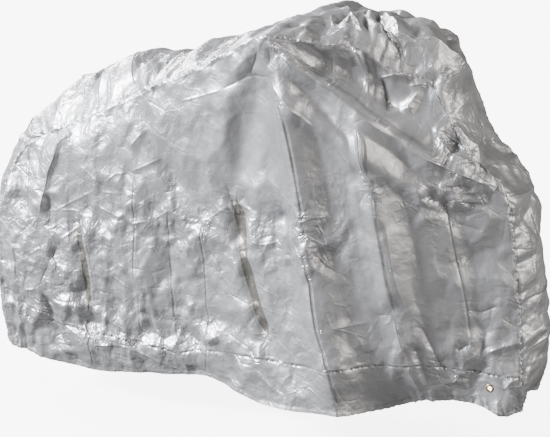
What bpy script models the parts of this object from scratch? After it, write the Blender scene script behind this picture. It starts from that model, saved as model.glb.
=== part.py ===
"""A fitted bicycle cover of silver-coated cloth, in the shape in which it hangs.

The cover is a hollow tent, open at the bottom. A long top strip starts at the rear hem,
climbs over the rest, the two side peaks and the front hump, and runs down to the front
hem. A side panel is sewn to each of its edges, and a low band with a brass eyelet is
sewn under each side panel.

Metres, +Z up. +X points to the front and -Y to the side that is seen. The origin is the
point under the top strip where the cover is held. Heights in the tables are measured
from the floor and are shifted to the origin at the end.
"""

import math
from collections import namedtuple

import bmesh
import bpy
import numpy as np

# ---- driving dimensions, in metres -------------------------------------------------
CLOTH = 0.002            # thickness of the coated cloth
SEAM_GAP = 0.0006        # two pieces that are sewn together stay this far apart
REST_HEIGHT = 1.092      # underside of the top strip above the rest, from the floor

# Grid steps: how finely each stretch of cloth is divided.
COLUMNS = 3              # between two sections of a side
BAND_ROWS = 3            # hem to low seam
WALL_ROWS = 14           # low seam to arris
BROW_ROWS = 4            # arris to top seam
STRIP_STEPS = 10         # across the top strip

# The brass eyelet in the band, centre (x, height) and its turned section.
EYELET_X = 1.129
EYELET_HEIGHT = 0.215
EYELET_BORE = 0.006      # radius of the open hole
EYELET_BARREL = 0.0075   # radius of the barrel, through the cloth
EYELET_FLANGE = 0.012    # radius of the rolled flange
EYELET_METAL = 0.0010    # thickness of the flange
EYELET_CLEARANCE = 0.0003
EYELET_STEPS = 24
FLAT_RADIUS = 0.055      # the cloth is flat this far around the eyelet
FLAT_BLEND = 0.100       # and takes up its folds again here

# A section of a side, rear to front: where its line stands at the hem (foot), at the
# arris where the wall turns inwards, and at the top seam (head), how far the middle of
# the line bows to the front, the heights of those levels, the half width of the cover
# at each, how deep the cloth sinks between arris and top seam, and the crown of the top
# strip on the centre plane with the squareness of its arch.
Section = namedtuple("Section", (
    "name foot_x arris_x head_x bow hem_z low_z arris_z seam_z "
    "hem_y low_y mid_y arris_y seam_y sink crown_x crown_z square"))
SECTIONS = [Section(*row) for row in (
    ("rear", -0.510, -0.470, -0.400, -0.042, 0.140, 0.270, 0.710, 0.812,
     0.085, 0.100, 0.110, 0.105, 0.100, 0.000, -0.482, 0.808, 2.0),
    ("tail", -0.390, -0.320, -0.290, -0.010, 0.125, 0.250, 0.750, 0.850,
     0.105, 0.125, 0.150, 0.140, 0.115, 0.000, -0.358, 0.920, 1.9),
    ("rear_pleat", -0.175, -0.200, -0.170, 0.000, 0.105, 0.236, 0.780, 0.903,
     0.120, 0.140, 0.165, 0.165, 0.140, 0.000, -0.190, 1.022, 1.8),
    ("rest_rear", -0.025, 0.018, 0.040, 0.000, 0.122, 0.230, 0.860, 0.993,
     0.135, 0.150, 0.180, 0.190, 0.180, 0.000, -0.035, 1.086, 2.2),
    ("rest_front", 0.135, 0.140, 0.140, 0.000, 0.137, 0.215, 0.900, 1.038,
     0.140, 0.155, 0.190, 0.210, 0.205, 0.000, 0.130, 1.101, 2.2),
    ("middle", 0.245, 0.265, 0.260, 0.000, 0.147, 0.235, 0.950, 1.088,
     0.160, 0.170, 0.200, 0.230, 0.225, 0.000, 0.250, 1.144, 2.2),
    ("front_pleat", 0.465, 0.375, 0.400, 0.000, 0.112, 0.250, 1.000, 1.150,
     0.235, 0.235, 0.235, 0.250, 0.260, 0.000, 0.390, 1.186, 2.2),
    ("peak", 0.600, 0.535, 0.526, 0.000, 0.116, 0.252, 1.100, 1.207,
     0.265, 0.255, 0.255, 0.275, 0.300, 0.000, 0.526, 1.227, 2.2),
    ("peak_fold", 0.725, 0.570, 0.575, 0.000, 0.128, 0.262, 1.150, 1.200,
     0.275, 0.275, 0.275, 0.285, 0.280, 0.008, 0.580, 1.238, 2.4),
    ("open_wall", 0.815, 0.670, 0.665, 0.000, 0.125, 0.270, 1.090, 1.182,
     0.180, 0.250, 0.270, 0.275, 0.240, 0.045, 0.670, 1.238, 3.0),
    ("hump_fold", 0.944, 0.785, 0.750, 0.000, 0.165, 0.277, 1.010, 1.172,
     0.150, 0.190, 0.240, 0.255, 0.200, 0.065, 0.750, 1.222, 4.0),
    ("hump", 1.030, 0.895, 0.840, 0.000, 0.168, 0.270, 0.925, 1.110,
     0.135, 0.170, 0.210, 0.220, 0.160, 0.050, 0.850, 1.222, 4.5),
    ("brow_fold", 1.100, 1.002, 0.930, 0.000, 0.160, 0.260, 0.870, 1.080,
     0.130, 0.140, 0.170, 0.180, 0.120, 0.030, 0.965, 1.164, 3.5),
    ("brow", 1.170, 1.100, 1.060, 0.000, 0.136, 0.252, 0.810, 0.886,
     0.120, 0.120, 0.130, 0.130, 0.115, 0.010, 1.052, 0.920, 1.7),
    ("front", 1.218, 1.172, 1.158, 0.010, 0.150, 0.250, 0.750, 0.795,
     0.095, 0.100, 0.100, 0.100, 0.100, 0.000, 1.158, 0.780, 1.7),
)]

# Half width of the cover at the flat cloth around the eyelet.
EYELET_HALF = 0.5 * (SECTIONS[-3].hem_y + SECTIONS[-2].hem_y)

# The centre line of the top strip where it hangs down at either end, hem to corner.
EndLine = namedtuple("EndLine", "hem_x hem_z low_x low_z mid_x mid_z arris_x arris_z square")
REAR_LINE = EndLine(-0.552, 0.145, -0.568, 0.270, -0.570, 0.500, -0.530, 0.705, 2.4)
FRONT_LINE = EndLine(1.200, 0.175, 1.250, 0.280, 1.234, 0.520, 1.192, 0.745, 1.8)

# The far side hangs from a slightly higher peak, and its front foot is drawn in.
Uneven = namedtuple("Uneven", "peak_lift front_tuck")
NEAR_UNEVEN = Uneven(0.000, 0.000)
FAR_UNEVEN = Uneven(0.020, 0.035)
PEAK_SECTION = 7
LIFT_SECTIONS = 3        # the lift spreads over this many sections on either side
TUCK_FROM = 0.95         # the tuck grows from this x to the front edge
TUCK_LENGTH = 0.27

# A fold of a side: its crest runs straight from (top_x, top_z) to (foot_x, foot_z),
# stands this far out of the cloth (negative: a furrow) and fades over the two widths.
Fold = namedtuple("Fold", "name top_x top_z foot_x foot_z height behind ahead")
NEAR_FOLDS = [Fold(*row) for row in (
    ("tail_ridge", -0.250, 0.840, -0.400, 0.560, 0.012, 0.060, 0.045),
    ("rear_pleat", -0.205, 0.600, -0.170, 0.280, -0.012, 0.035, 0.030),
    ("front_pleat", 0.383, 0.700, 0.480, 0.300, -0.018, 0.045, 0.050),
    ("peak_furrow", 0.470, 1.100, 0.385, 0.760, -0.020, 0.070, 0.060),
    ("peak_edge", 0.565, 1.100, 0.726, 0.130, 0.020, 0.090, 0.040),
    ("peak_edge_back", 0.625, 1.000, 0.790, 0.150, -0.024, 0.050, 0.070),
    ("brow_roll", 0.620, 1.020, 0.960, 0.780, 0.012, 0.050, 0.045),
    ("hump_edge", 0.790, 0.960, 0.935, 0.200, 0.020, 0.070, 0.035),
    ("hump_edge_back", 0.845, 0.900, 0.990, 0.210, -0.018, 0.045, 0.060),
    ("front_edge", 1.030, 0.700, 1.090, 0.300, 0.009, 0.050, 0.035),
)]
FAR_FOLDS = [Fold(*row) for row in (
    ("tail_ridge", -0.230, 0.830, -0.340, 0.420, 0.012, 0.050, 0.060),
    ("rest_fold", 0.050, 0.930, 0.020, 0.300, 0.012, 0.060, 0.050),
    ("peak_furrow", 0.450, 1.080, 0.330, 0.500, -0.018, 0.060, 0.070),
    ("peak_edge", 0.560, 1.120, 0.690, 0.140, 0.020, 0.060, 0.080),
    ("hump_edge", 0.800, 0.930, 0.900, 0.210, -0.020, 0.060, 0.060),
    ("front_edge", 1.010, 0.760, 1.060, 0.260, 0.012, 0.045, 0.050),
)]
# The same across the top strip, where a crest runs from (top_x, y) to (foot_x, y).
STRIP_FOLDS = [Fold(*row) for row in (
    ("tail_fold", -0.300, -0.080, -0.210, 0.080, 0.009, 0.040, 0.050),
    ("rest_fold", -0.050, -0.150, 0.060, 0.150, 0.008, 0.045, 0.060),
    ("middle_fold", 0.250, -0.180, 0.330, 0.180, -0.008, 0.060, 0.050),
    ("peak_bar", 0.530, -0.290, 0.530, 0.290, 0.010, 0.050, 0.045),
    ("hump_rear", 0.640, -0.180, 0.670, 0.200, -0.012, 0.040, 0.050),
    ("hump_top", 0.790, -0.150, 0.770, 0.150, 0.008, 0.050, 0.050),
)]
STRIP_FOLD_FROM = 0.82   # these lie on the top only, above this height
STRIP_FOLD_BLEND = 0.06
STRIP_FOLD_EDGE = 0.35   # and die away towards the seams, in half widths
FOLD_FADE = 0.10         # length over which a fold dies away past its two ends


# ---- interpolation -----------------------------------------------------------------
def smooth(rows, at):
    """Read a table at fractional row numbers, along curves that never overshoot."""
    rows = np.asarray(rows, dtype=float)
    steps = np.diff(rows, axis=0)
    slopes = np.zeros_like(rows)
    before, after = steps[:-1], steps[1:]
    same_way = before * after > 0
    total = np.where(same_way, before + after, 1.0)
    slopes[1:-1] = np.where(same_way, 2 * before * after / total, 0.0)
    slopes[0], slopes[-1] = steps[0], steps[-1]
    low = np.clip(np.floor(at).astype(int), 0, len(rows) - 2)
    part = (at - low).reshape((-1,) + (1,) * (rows.ndim - 1))
    return ((1 + 2 * part) * (1 - part) ** 2 * rows[low]
            + part * (1 - part) ** 2 * slopes[low]
            + part ** 2 * (3 - 2 * part) * rows[low + 1]
            + part ** 2 * (part - 1) * slopes[low + 1])


def ease(value):
    """0 to 1 with level ends."""
    value = np.clip(value, 0.0, 1.0)
    return value * value * (3 - 2 * value)


# ---- the shape of a side -----------------------------------------------------------
def section_levels(section):
    """The points of a section at its five levels, as rows of x, half width, height."""
    low = (section.low_z - section.hem_z) / (section.arris_z - section.hem_z)
    middle_z = 0.5 * (section.low_z + section.arris_z)
    middle = (middle_z - section.hem_z) / (section.arris_z - section.hem_z)
    lean = section.arris_x - section.foot_x
    low_x = section.foot_x + low * lean + 0.6 * section.bow
    middle_x = section.foot_x + middle * lean + section.bow
    return [
        (section.foot_x, section.hem_y, section.hem_z),
        (low_x, section.low_y, section.low_z),
        (middle_x, section.mid_y, middle_z),
        (section.arris_x, section.arris_y, section.arris_z),
        (section.head_x, section.seam_y, section.seam_z),
    ]


def fold_height(folds, x, z):
    """How far the folds push the cloth out at each point of a side."""
    total = np.zeros_like(x)
    for fold in folds:
        run_x, run_z = fold.foot_x - fold.top_x, fold.foot_z - fold.top_z
        length = math.hypot(run_x, run_z)
        along = ((x - fold.top_x) * run_x + (z - fold.top_z) * run_z) / length
        across = ((x - fold.top_x) * -run_z + (z - fold.top_z) * run_x) / length
        width = np.where(across < 0, fold.behind, fold.ahead)
        profile = ease(1 - np.abs(across) / width)
        fade = ease(1 + along / FOLD_FADE) * ease(1 + (length - along) / FOLD_FADE)
        total += fold.height * profile * fade
    return total


def side_columns():
    """Places of the grid columns, counted in sections."""
    return np.linspace(0, len(SECTIONS) - 1, (len(SECTIONS) - 1) * COLUMNS + 1)


def side_rows():
    """Places of the grid rows, counted in levels: hem, low seam, middle, arris, seam."""
    return np.concatenate([
        np.linspace(0, 1, BAND_ROWS + 1)[:-1],
        np.linspace(1, 3, WALL_ROWS + 1)[:-1],
        np.linspace(3, 4, BROW_ROWS + 1),
    ])


def side_net(folds, uneven):
    """All points of a side, rows from hem to top seam and columns from rear to front."""
    columns, rows = side_columns(), side_rows()
    sections = smooth([section_levels(section) for section in SECTIONS], columns)
    net = smooth(sections.transpose(1, 0, 2), rows)
    x, half, height = net[..., 0], net[..., 1], net[..., 2]
    sink = smooth([section.sink for section in SECTIONS], columns)
    brow = np.clip(rows - 3, 0, 1)[:, None]
    half = half - sink[None, :] * np.sin(math.pi * brow ** 0.7)
    inside = ease(columns / 1.5) * ease((len(SECTIONS) - 1 - columns) / 1.5)
    below_seam = ease((4 - rows) / 0.5)[:, None]
    half = half + fold_height(folds, x, height) * inside[None, :] * below_seam
    low = ease(1 - rows / 2)[:, None]
    x = x - uneven.front_tuck * ease((x - TUCK_FROM) / TUCK_LENGTH) * low
    distance = np.hypot(x - EYELET_X, height - EYELET_HEIGHT)
    loose = ease((distance - FLAT_RADIUS) / (FLAT_BLEND - FLAT_RADIUS))
    half = EYELET_HALF + (half - EYELET_HALF) * loose
    near_peak = ease(1 - np.abs(columns - PEAK_SECTION) / LIFT_SECTIONS)
    lift = uneven.peak_lift * near_peak[None, :] * ease(rows / 4)[:, None]
    return np.stack([x, half, height + lift], axis=-1)


def to_place(net, side):
    """Give a net of x, half width and height its side (-1 near, +1 far) and origin."""
    placed = net.copy()
    placed[..., 1] = side * net[..., 1]
    placed[..., 2] = net[..., 2] - REST_HEIGHT
    return placed


# ---- the shape of the top strip ----------------------------------------------------
def strip_net(near, far):
    """The strip from the rear hem over the top to the front hem, between both sides."""
    crown = smooth([(s.crown_x, s.crown_z, s.square) for s in SECTIONS], side_columns())

    def end_line(line, corner):
        levels = [
            (line.hem_x, line.hem_z, line.square),
            (line.low_x, line.low_z, line.square),
            (line.mid_x, line.mid_z, line.square),
            (line.arris_x, line.arris_z, line.square),
            (corner[0], corner[1], corner[2]),
        ]
        return smooth(levels, side_rows())

    rear = end_line(REAR_LINE, crown[0])
    front = end_line(FRONT_LINE, crown[-1])[::-1]
    centre = np.concatenate([rear[:-1], crown, front[1:]])

    def border(side):
        return np.concatenate([side[:-1, 0], side[-1], side[:-1, -1][::-1]])

    near_edge, far_edge = border(near), border(far)
    across = np.linspace(-1, 1, STRIP_STEPS + 1)
    strip = np.zeros((len(centre), len(across), 3))
    for index, place in enumerate(across):
        share = 0.5 * (place + 1)
        chord = near_edge * (1 - share) + far_edge * share
        middle = 0.5 * (near_edge + far_edge)
        arch = 1 - np.abs(place) ** centre[:, 2]
        strip[:, index] = chord
        strip[:, index, 0] += (centre[:, 0] - middle[:, 0]) * arch
        strip[:, index, 2] += (centre[:, 1] - REST_HEIGHT - middle[:, 2]) * arch
    on_top = ease((strip[..., 2] + REST_HEIGHT - STRIP_FOLD_FROM) / STRIP_FOLD_BLEND)
    inside = ease((1 - np.abs(across)) / STRIP_FOLD_EDGE)
    strip[..., 2] += fold_height(STRIP_FOLDS, strip[..., 0], strip[..., 1]) * on_top * inside
    return strip


# ---- pieces of cloth ---------------------------------------------------------------
def shared_normals(nets):
    """Outward normals of nets that meet, equal on both sides of a seam."""
    sums = {}

    def key(point):
        return tuple(np.round(point, 5))

    for net in nets:
        diagonal = net[1:, 1:] - net[:-1, :-1]
        other = net[1:, :-1] - net[:-1, 1:]
        faces = np.cross(diagonal, other)
        for row, column in np.ndindex(faces.shape[:2]):
            for corner in ((0, 0), (0, 1), (1, 0), (1, 1)):
                place = key(net[row + corner[0], column + corner[1]])
                sums[place] = sums.get(place, 0) + faces[row, column]
    normals = []
    for net in nets:
        normal = np.array([[sums[key(point)] for point in line] for line in net])
        normals.append(normal / np.linalg.norm(normal, axis=-1, keepdims=True))
    return normals


def pull_back(net, sewn):
    """How far each point moves to draw the sewn edges in, square to the seam."""
    moved = net.copy()
    for edge, here, inwards in (
            ("first_row", (0, slice(None)), (1, slice(None))),
            ("last_row", (-1, slice(None)), (-2, slice(None))),
            ("first_column", (slice(None), 0), (slice(None), 1)),
            ("last_column", (slice(None), -1), (slice(None), -2))):
        if edge in sewn:
            along = np.gradient(net[here], axis=0)
            along /= np.linalg.norm(along, axis=-1, keepdims=True)
            way = net[inwards] - net[here]
            way -= along * np.sum(way * along, axis=-1, keepdims=True)
            way /= np.linalg.norm(way, axis=-1, keepdims=True)
            moved[here] += way * SEAM_GAP / 2
    return moved - net


def cloth_piece(name, net, normals, sewn, material, collection):
    """One closed sheet: the net is its outer skin, and a second skin lies under it."""
    shift = pull_back(net, sewn)
    outer = net + shift
    inner = net - normals * CLOTH + shift
    rows, columns = net.shape[:2]
    mesh = bmesh.new()
    skins = [[[mesh.verts.new(point) for point in line] for line in skin]
             for skin in (outer, inner)]
    for row in range(rows - 1):
        for column in range(columns - 1):
            for skin in skins:
                mesh.faces.new((skin[row][column], skin[row][column + 1],
                                skin[row + 1][column + 1], skin[row + 1][column]))
    rim = ([(0, column) for column in range(columns)]
           + [(row, columns - 1) for row in range(1, rows)]
           + [(rows - 1, column) for column in range(columns - 2, -1, -1)]
           + [(row, 0) for row in range(rows - 2, 0, -1)])
    for here, there in zip(rim, rim[1:] + rim[:1]):
        mesh.faces.new([skins[0][here[0]][here[1]], skins[0][there[0]][there[1]],
                        skins[1][there[0]][there[1]], skins[1][here[0]][here[1]]])
    bmesh.ops.recalc_face_normals(mesh, faces=mesh.faces)
    data = bpy.data.meshes.new(name)
    mesh.to_mesh(data)
    mesh.free()
    data.shade_smooth()
    data.materials.append(material)
    piece = bpy.data.objects.new(name, data)
    collection.objects.link(piece)
    return piece


# ---- eyelets -----------------------------------------------------------------------
def eyelet_ring(name, side, material, collection):
    """A turned brass ring whose two flanges hold the cloth between them."""
    half_cloth = CLOTH / 2 + EYELET_CLEARANCE
    flange_top = half_cloth + EYELET_METAL
    section = [
        (EYELET_BORE, flange_top - EYELET_METAL / 2),
        (EYELET_BORE + EYELET_METAL, flange_top),
        (EYELET_FLANGE - EYELET_METAL / 2, flange_top),
        (EYELET_FLANGE, half_cloth + EYELET_METAL / 2),
        (EYELET_FLANGE - EYELET_METAL / 2, half_cloth),
        (EYELET_BARREL, half_cloth),
    ]
    profile = section + [(radius, -height) for radius, height in reversed(section)]
    mesh = bmesh.new()
    corners = [mesh.verts.new((radius, 0.0, height)) for radius, height in profile]
    for here, there in zip(corners, corners[1:] + corners[:1]):
        mesh.edges.new((here, there))
    data = bpy.data.meshes.new(name)
    mesh.to_mesh(data)
    mesh.free()
    data.materials.append(material)
    ring = bpy.data.objects.new(name, data)
    collection.objects.link(ring)
    turn = ring.modifiers.new("turn", "SCREW")
    turn.steps = EYELET_STEPS
    turn.render_steps = EYELET_STEPS
    turn.use_merge_vertices = True
    turn.merge_threshold = 0.00001
    turn.use_normal_calculate = True
    ring.location = (EYELET_X, side * (EYELET_HALF - CLOTH / 2), EYELET_HEIGHT - REST_HEIGHT)
    ring.rotation_euler = (math.radians(90), 0.0, 0.0)
    return ring


def eyelet_hole(band, side, cutters):
    """Cut the round hole that the barrel of the eyelet passes."""
    bpy.ops.mesh.primitive_cylinder_add(
        vertices=EYELET_STEPS, radius=EYELET_BARREL + EYELET_CLEARANCE, depth=10 * CLOTH,
        location=(EYELET_X, side * EYELET_HALF, EYELET_HEIGHT - REST_HEIGHT),
        rotation=(math.radians(90), 0.0, 0.0))
    cutter = bpy.context.active_object
    cutter.name = band.name + "_cutter"
    for owner in list(cutter.users_collection):
        owner.objects.unlink(cutter)
    cutters.objects.link(cutter)
    cutter.hide_render = True
    cutter.display_type = "WIRE"
    cut = band.modifiers.new("eyelet_hole", "BOOLEAN")
    cut.operation = "DIFFERENCE"
    cut.object = cutter


# ---- materials and scene -----------------------------------------------------------
def plain_material(name, colour, roughness, metallic):
    material = bpy.data.materials.new(name)
    material.use_nodes = True
    shader = material.node_tree.nodes["Principled BSDF"]
    shader.inputs["Base Color"].default_value = (*colour, 1.0)
    shader.inputs["Roughness"].default_value = roughness
    shader.inputs["Metallic"].default_value = metallic
    material.diffuse_color = (*colour, 1.0)
    return material


def new_collection(name):
    collection = bpy.data.collections.new(name)
    bpy.context.scene.collection.children.link(collection)
    return collection


def clear_scene():
    for thing in list(bpy.data.objects):
        bpy.data.objects.remove(thing, do_unlink=True)


def main():
    clear_scene()
    parts = new_collection("bicycle_cover")
    cutters = new_collection("cutters")
    near = to_place(side_net(NEAR_FOLDS, NEAR_UNEVEN), -1)
    far = to_place(side_net(FAR_FOLDS, FAR_UNEVEN), 1)
    strip = strip_net(near, far)
    seam = BAND_ROWS
    nets = [strip[:, ::-1], near[seam:], far[seam:, ::-1],
            near[:seam + 1], far[:seam + 1, ::-1]]
    normals = shared_normals(nets)
    pieces = (
        ("top_strip", ("first_column", "last_column"), (0.62, 0.62, 0.63)),
        ("side_near", ("first_row", "last_row", "first_column", "last_column"),
         (0.60, 0.60, 0.61)),
        ("side_far", ("first_row", "last_row", "first_column", "last_column"),
         (0.57, 0.57, 0.58)),
        ("band_near", ("last_row", "first_column", "last_column"), (0.52, 0.52, 0.51)),
        ("band_far", ("last_row", "first_column", "last_column"), (0.50, 0.50, 0.49)),
    )
    built = {}
    for (name, sewn, colour), net, normal in zip(pieces, nets, normals):
        cloth = plain_material(name + "_cloth", colour, 0.42, 0.55)
        built[name] = cloth_piece(name, net, normal, sewn, cloth, parts)
    for name, side in (("near", -1), ("far", 1)):
        brass = plain_material("eyelet_" + name + "_brass", (0.60, 0.47, 0.26), 0.35, 1.0)
        eyelet_ring("eyelet_" + name, side, brass, parts)
        eyelet_hole(built["band_" + name], side, cutters)


main()
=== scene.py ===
# %% [markdown]
# # A fitted bicycle cover of silver-coated cloth
#
# This lesson dresses a plain model of a cover. The model already has the pieces a maker
# would cut: a long top strip, two sides, two low bands and a brass eyelet in each band.
# Here they get their creases, puckers, stitches and finish. All sizes are in metres.

# %% Load the plain model
import math
from collections import namedtuple

import bmesh
import bpy
import numpy as np
from mathutils import Matrix


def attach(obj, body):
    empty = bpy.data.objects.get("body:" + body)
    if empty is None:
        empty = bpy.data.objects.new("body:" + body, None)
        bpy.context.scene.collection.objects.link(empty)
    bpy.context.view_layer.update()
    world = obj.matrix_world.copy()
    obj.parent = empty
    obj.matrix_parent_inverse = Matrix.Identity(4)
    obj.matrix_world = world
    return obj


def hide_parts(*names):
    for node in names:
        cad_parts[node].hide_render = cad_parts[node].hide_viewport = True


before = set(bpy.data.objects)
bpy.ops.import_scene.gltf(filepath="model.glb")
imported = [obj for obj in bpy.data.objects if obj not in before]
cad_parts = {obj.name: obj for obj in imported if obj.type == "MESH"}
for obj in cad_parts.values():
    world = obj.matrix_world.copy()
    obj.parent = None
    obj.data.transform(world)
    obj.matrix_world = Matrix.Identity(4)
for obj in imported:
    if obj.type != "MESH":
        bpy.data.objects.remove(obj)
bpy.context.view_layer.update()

# %% [markdown]
# ## Camera, light and floor
#
# The picture was taken from the front right, a little above the cover, with a long lens.
# A camera is easiest to aim with its three axes: forward, right and up. The floor is a
# pale plane under the hem. Crumpled silver cloth shows its creases best under lamps that
# graze it. The key lamp stands behind the near side, and a weaker twin does the same for
# the far side. Two weak warm lamps light the front, and a dim sky fills the rest, so that
# the creases keep their shade. One lamp from above would leave both sides flat.

# %% The camera
FLOOR = -1.092
CAMERA_PLACE = (3.1333, -5.3206, 0.9137)
CAMERA_YAW = -0.4749
CAMERA_PITCH = 0.2287
CAMERA_ROLL = -0.0199
CAMERA_LENS = 135.2
CAMERA_REACH = 200.0


def add_camera():
    """Aim the camera with its three axes and make it the one that is used."""
    level = math.cos(CAMERA_PITCH)
    forward = np.array([math.sin(CAMERA_YAW) * level, math.cos(CAMERA_YAW) * level,
                        -math.sin(CAMERA_PITCH)])
    right = np.array([math.cos(CAMERA_YAW), -math.sin(CAMERA_YAW), 0.0])
    up = np.cross(right, forward)
    turn, lean = math.cos(CAMERA_ROLL), math.sin(CAMERA_ROLL)
    axes = (turn * right + lean * up, turn * up - lean * right, -forward)
    data = bpy.data.cameras.new("camera")
    data.lens = CAMERA_LENS
    data.clip_end = CAMERA_REACH
    camera = bpy.data.objects.new("camera", data)
    bpy.context.scene.collection.objects.link(camera)
    matrix = np.eye(4)
    matrix[:3, :3] = np.array(axes).T
    matrix[:3, 3] = CAMERA_PLACE
    camera.matrix_world = Matrix(matrix.tolist())
    bpy.context.scene.camera = camera
    return camera


camera = add_camera()
print("camera at", tuple(camera.location))

# %% Lamps, and a paint for the floor
Lamp = namedtuple("Lamp", "name lean turn strength spread colour")
LAMPS = [Lamp(*row) for row in (
    ("key", 63, -58, 12.2, 12, (0.968, 0.977, 1.0)),
    ("back", 66, -122, 3.3, 14, (0.968, 0.977, 1.0)),
    ("edge", 76, 62, 0.8, 24, (1.0, 0.94, 0.85)),
    ("front", 64, 97, 1.9, 20, (1.0, 0.95, 0.88)),
)]
SKY = (1.0, 0.975, 0.94)
SKY_STRENGTH = 0.15
FLOOR_REACH = 60.0
FLOOR_X = 0.3
FLOOR_SEEN = (0.95, 0.95, 0.95)
FLOOR_BOUNCE = (0.08, 0.08, 0.08)
FLOOR_GLOW = 6.0
FLOOR_ROUGHNESS = 0.8


def new_material(name):
    """A material, its node tree and its one shader."""
    material = bpy.data.materials.new(name)
    material.use_nodes = True
    return material, material.node_tree, material.node_tree.nodes["Principled BSDF"]


def feed(tree, value, socket):
    """Give a socket a number, a colour or another socket to follow."""
    if isinstance(value, (int, float)):
        socket.default_value = value
    elif isinstance(value, tuple):
        socket.default_value = (*value, 1.0)
    else:
        tree.links.new(value, socket)


def mix_colours(tree, share, first, second):
    """The first colour at share 0 and the second at share 1."""
    node = tree.nodes.new("ShaderNodeMix")
    node.data_type = "RGBA"
    for place, value in ((0, share), (6, first), (7, second)):
        feed(tree, value, node.inputs[place])
    return node.outputs[2]


def floor_paint():
    """White to the eye, but dark to the cloth above, which keeps its shade."""
    paint, tree, shader = new_material("pale_floor")
    shader.inputs["Roughness"].default_value = FLOOR_ROUGHNESS
    seen = tree.nodes.new("ShaderNodeLightPath").outputs["Is Camera Ray"]
    feed(tree, mix_colours(tree, seen, FLOOR_BOUNCE, FLOOR_SEEN), shader.inputs["Base Color"])
    glow = tree.nodes.new("ShaderNodeMath")
    glow.operation = "MULTIPLY"
    glow.inputs[1].default_value = FLOOR_GLOW
    tree.links.new(seen, glow.inputs[0])
    feed(tree, (1.0, 1.0, 1.0), shader.inputs["Emission Color"])
    tree.links.new(glow.outputs[0], shader.inputs["Emission Strength"])
    return paint


print("lamps", [lamp.name for lamp in LAMPS])


# %% The lamps, the sky and the floor
def add_lamp(lamp):
    """A far, soft lamp: lean is from straight above, turn is about the upright."""
    data = bpy.data.lights.new(lamp.name, "SUN")
    data.energy = lamp.strength
    data.angle = math.radians(lamp.spread)
    data.color = lamp.colour
    light = bpy.data.objects.new(lamp.name, data)
    light.rotation_euler = (math.radians(lamp.lean), 0.0, math.radians(lamp.turn))
    bpy.context.scene.collection.objects.link(light)


def add_light_and_floor():
    """The lamps, the dim sky and the floor, which is part of the stage."""
    for lamp in LAMPS:
        add_lamp(lamp)
    world = bpy.data.worlds.new("studio")
    world.use_nodes = True
    sky = world.node_tree.nodes["Background"]
    sky.inputs["Color"].default_value = (*SKY, 1.0)
    sky.inputs["Strength"].default_value = SKY_STRENGTH
    bpy.context.scene.world = world
    bpy.ops.mesh.primitive_plane_add(size=FLOOR_REACH, location=(FLOOR_X, 0.0, FLOOR))
    floor = bpy.context.active_object
    floor.name = "floor"
    floor.data.materials.append(floor_paint())
    return floor


floor = add_light_and_floor()
print(len(LAMPS), "lamps and a floor at", FLOOR)

# %% [markdown]
# ## The sizes of the cover
#
# The cover is described by 15 upright lines on its side, from the rear to the front.
# Each row says where the line stands at the hem, at the arris where the wall turns
# inwards and at the top seam, how high these are above the floor, and how wide the
# cover is there. The plain model was made from the same table, so the fine cloth fits
# on it. Broad folds are ridges and furrows along straight lines, added to that shape.
# Most of the near ones are shallower and wider here, because thin cloth is softer than
# the plain model's plates.

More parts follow.
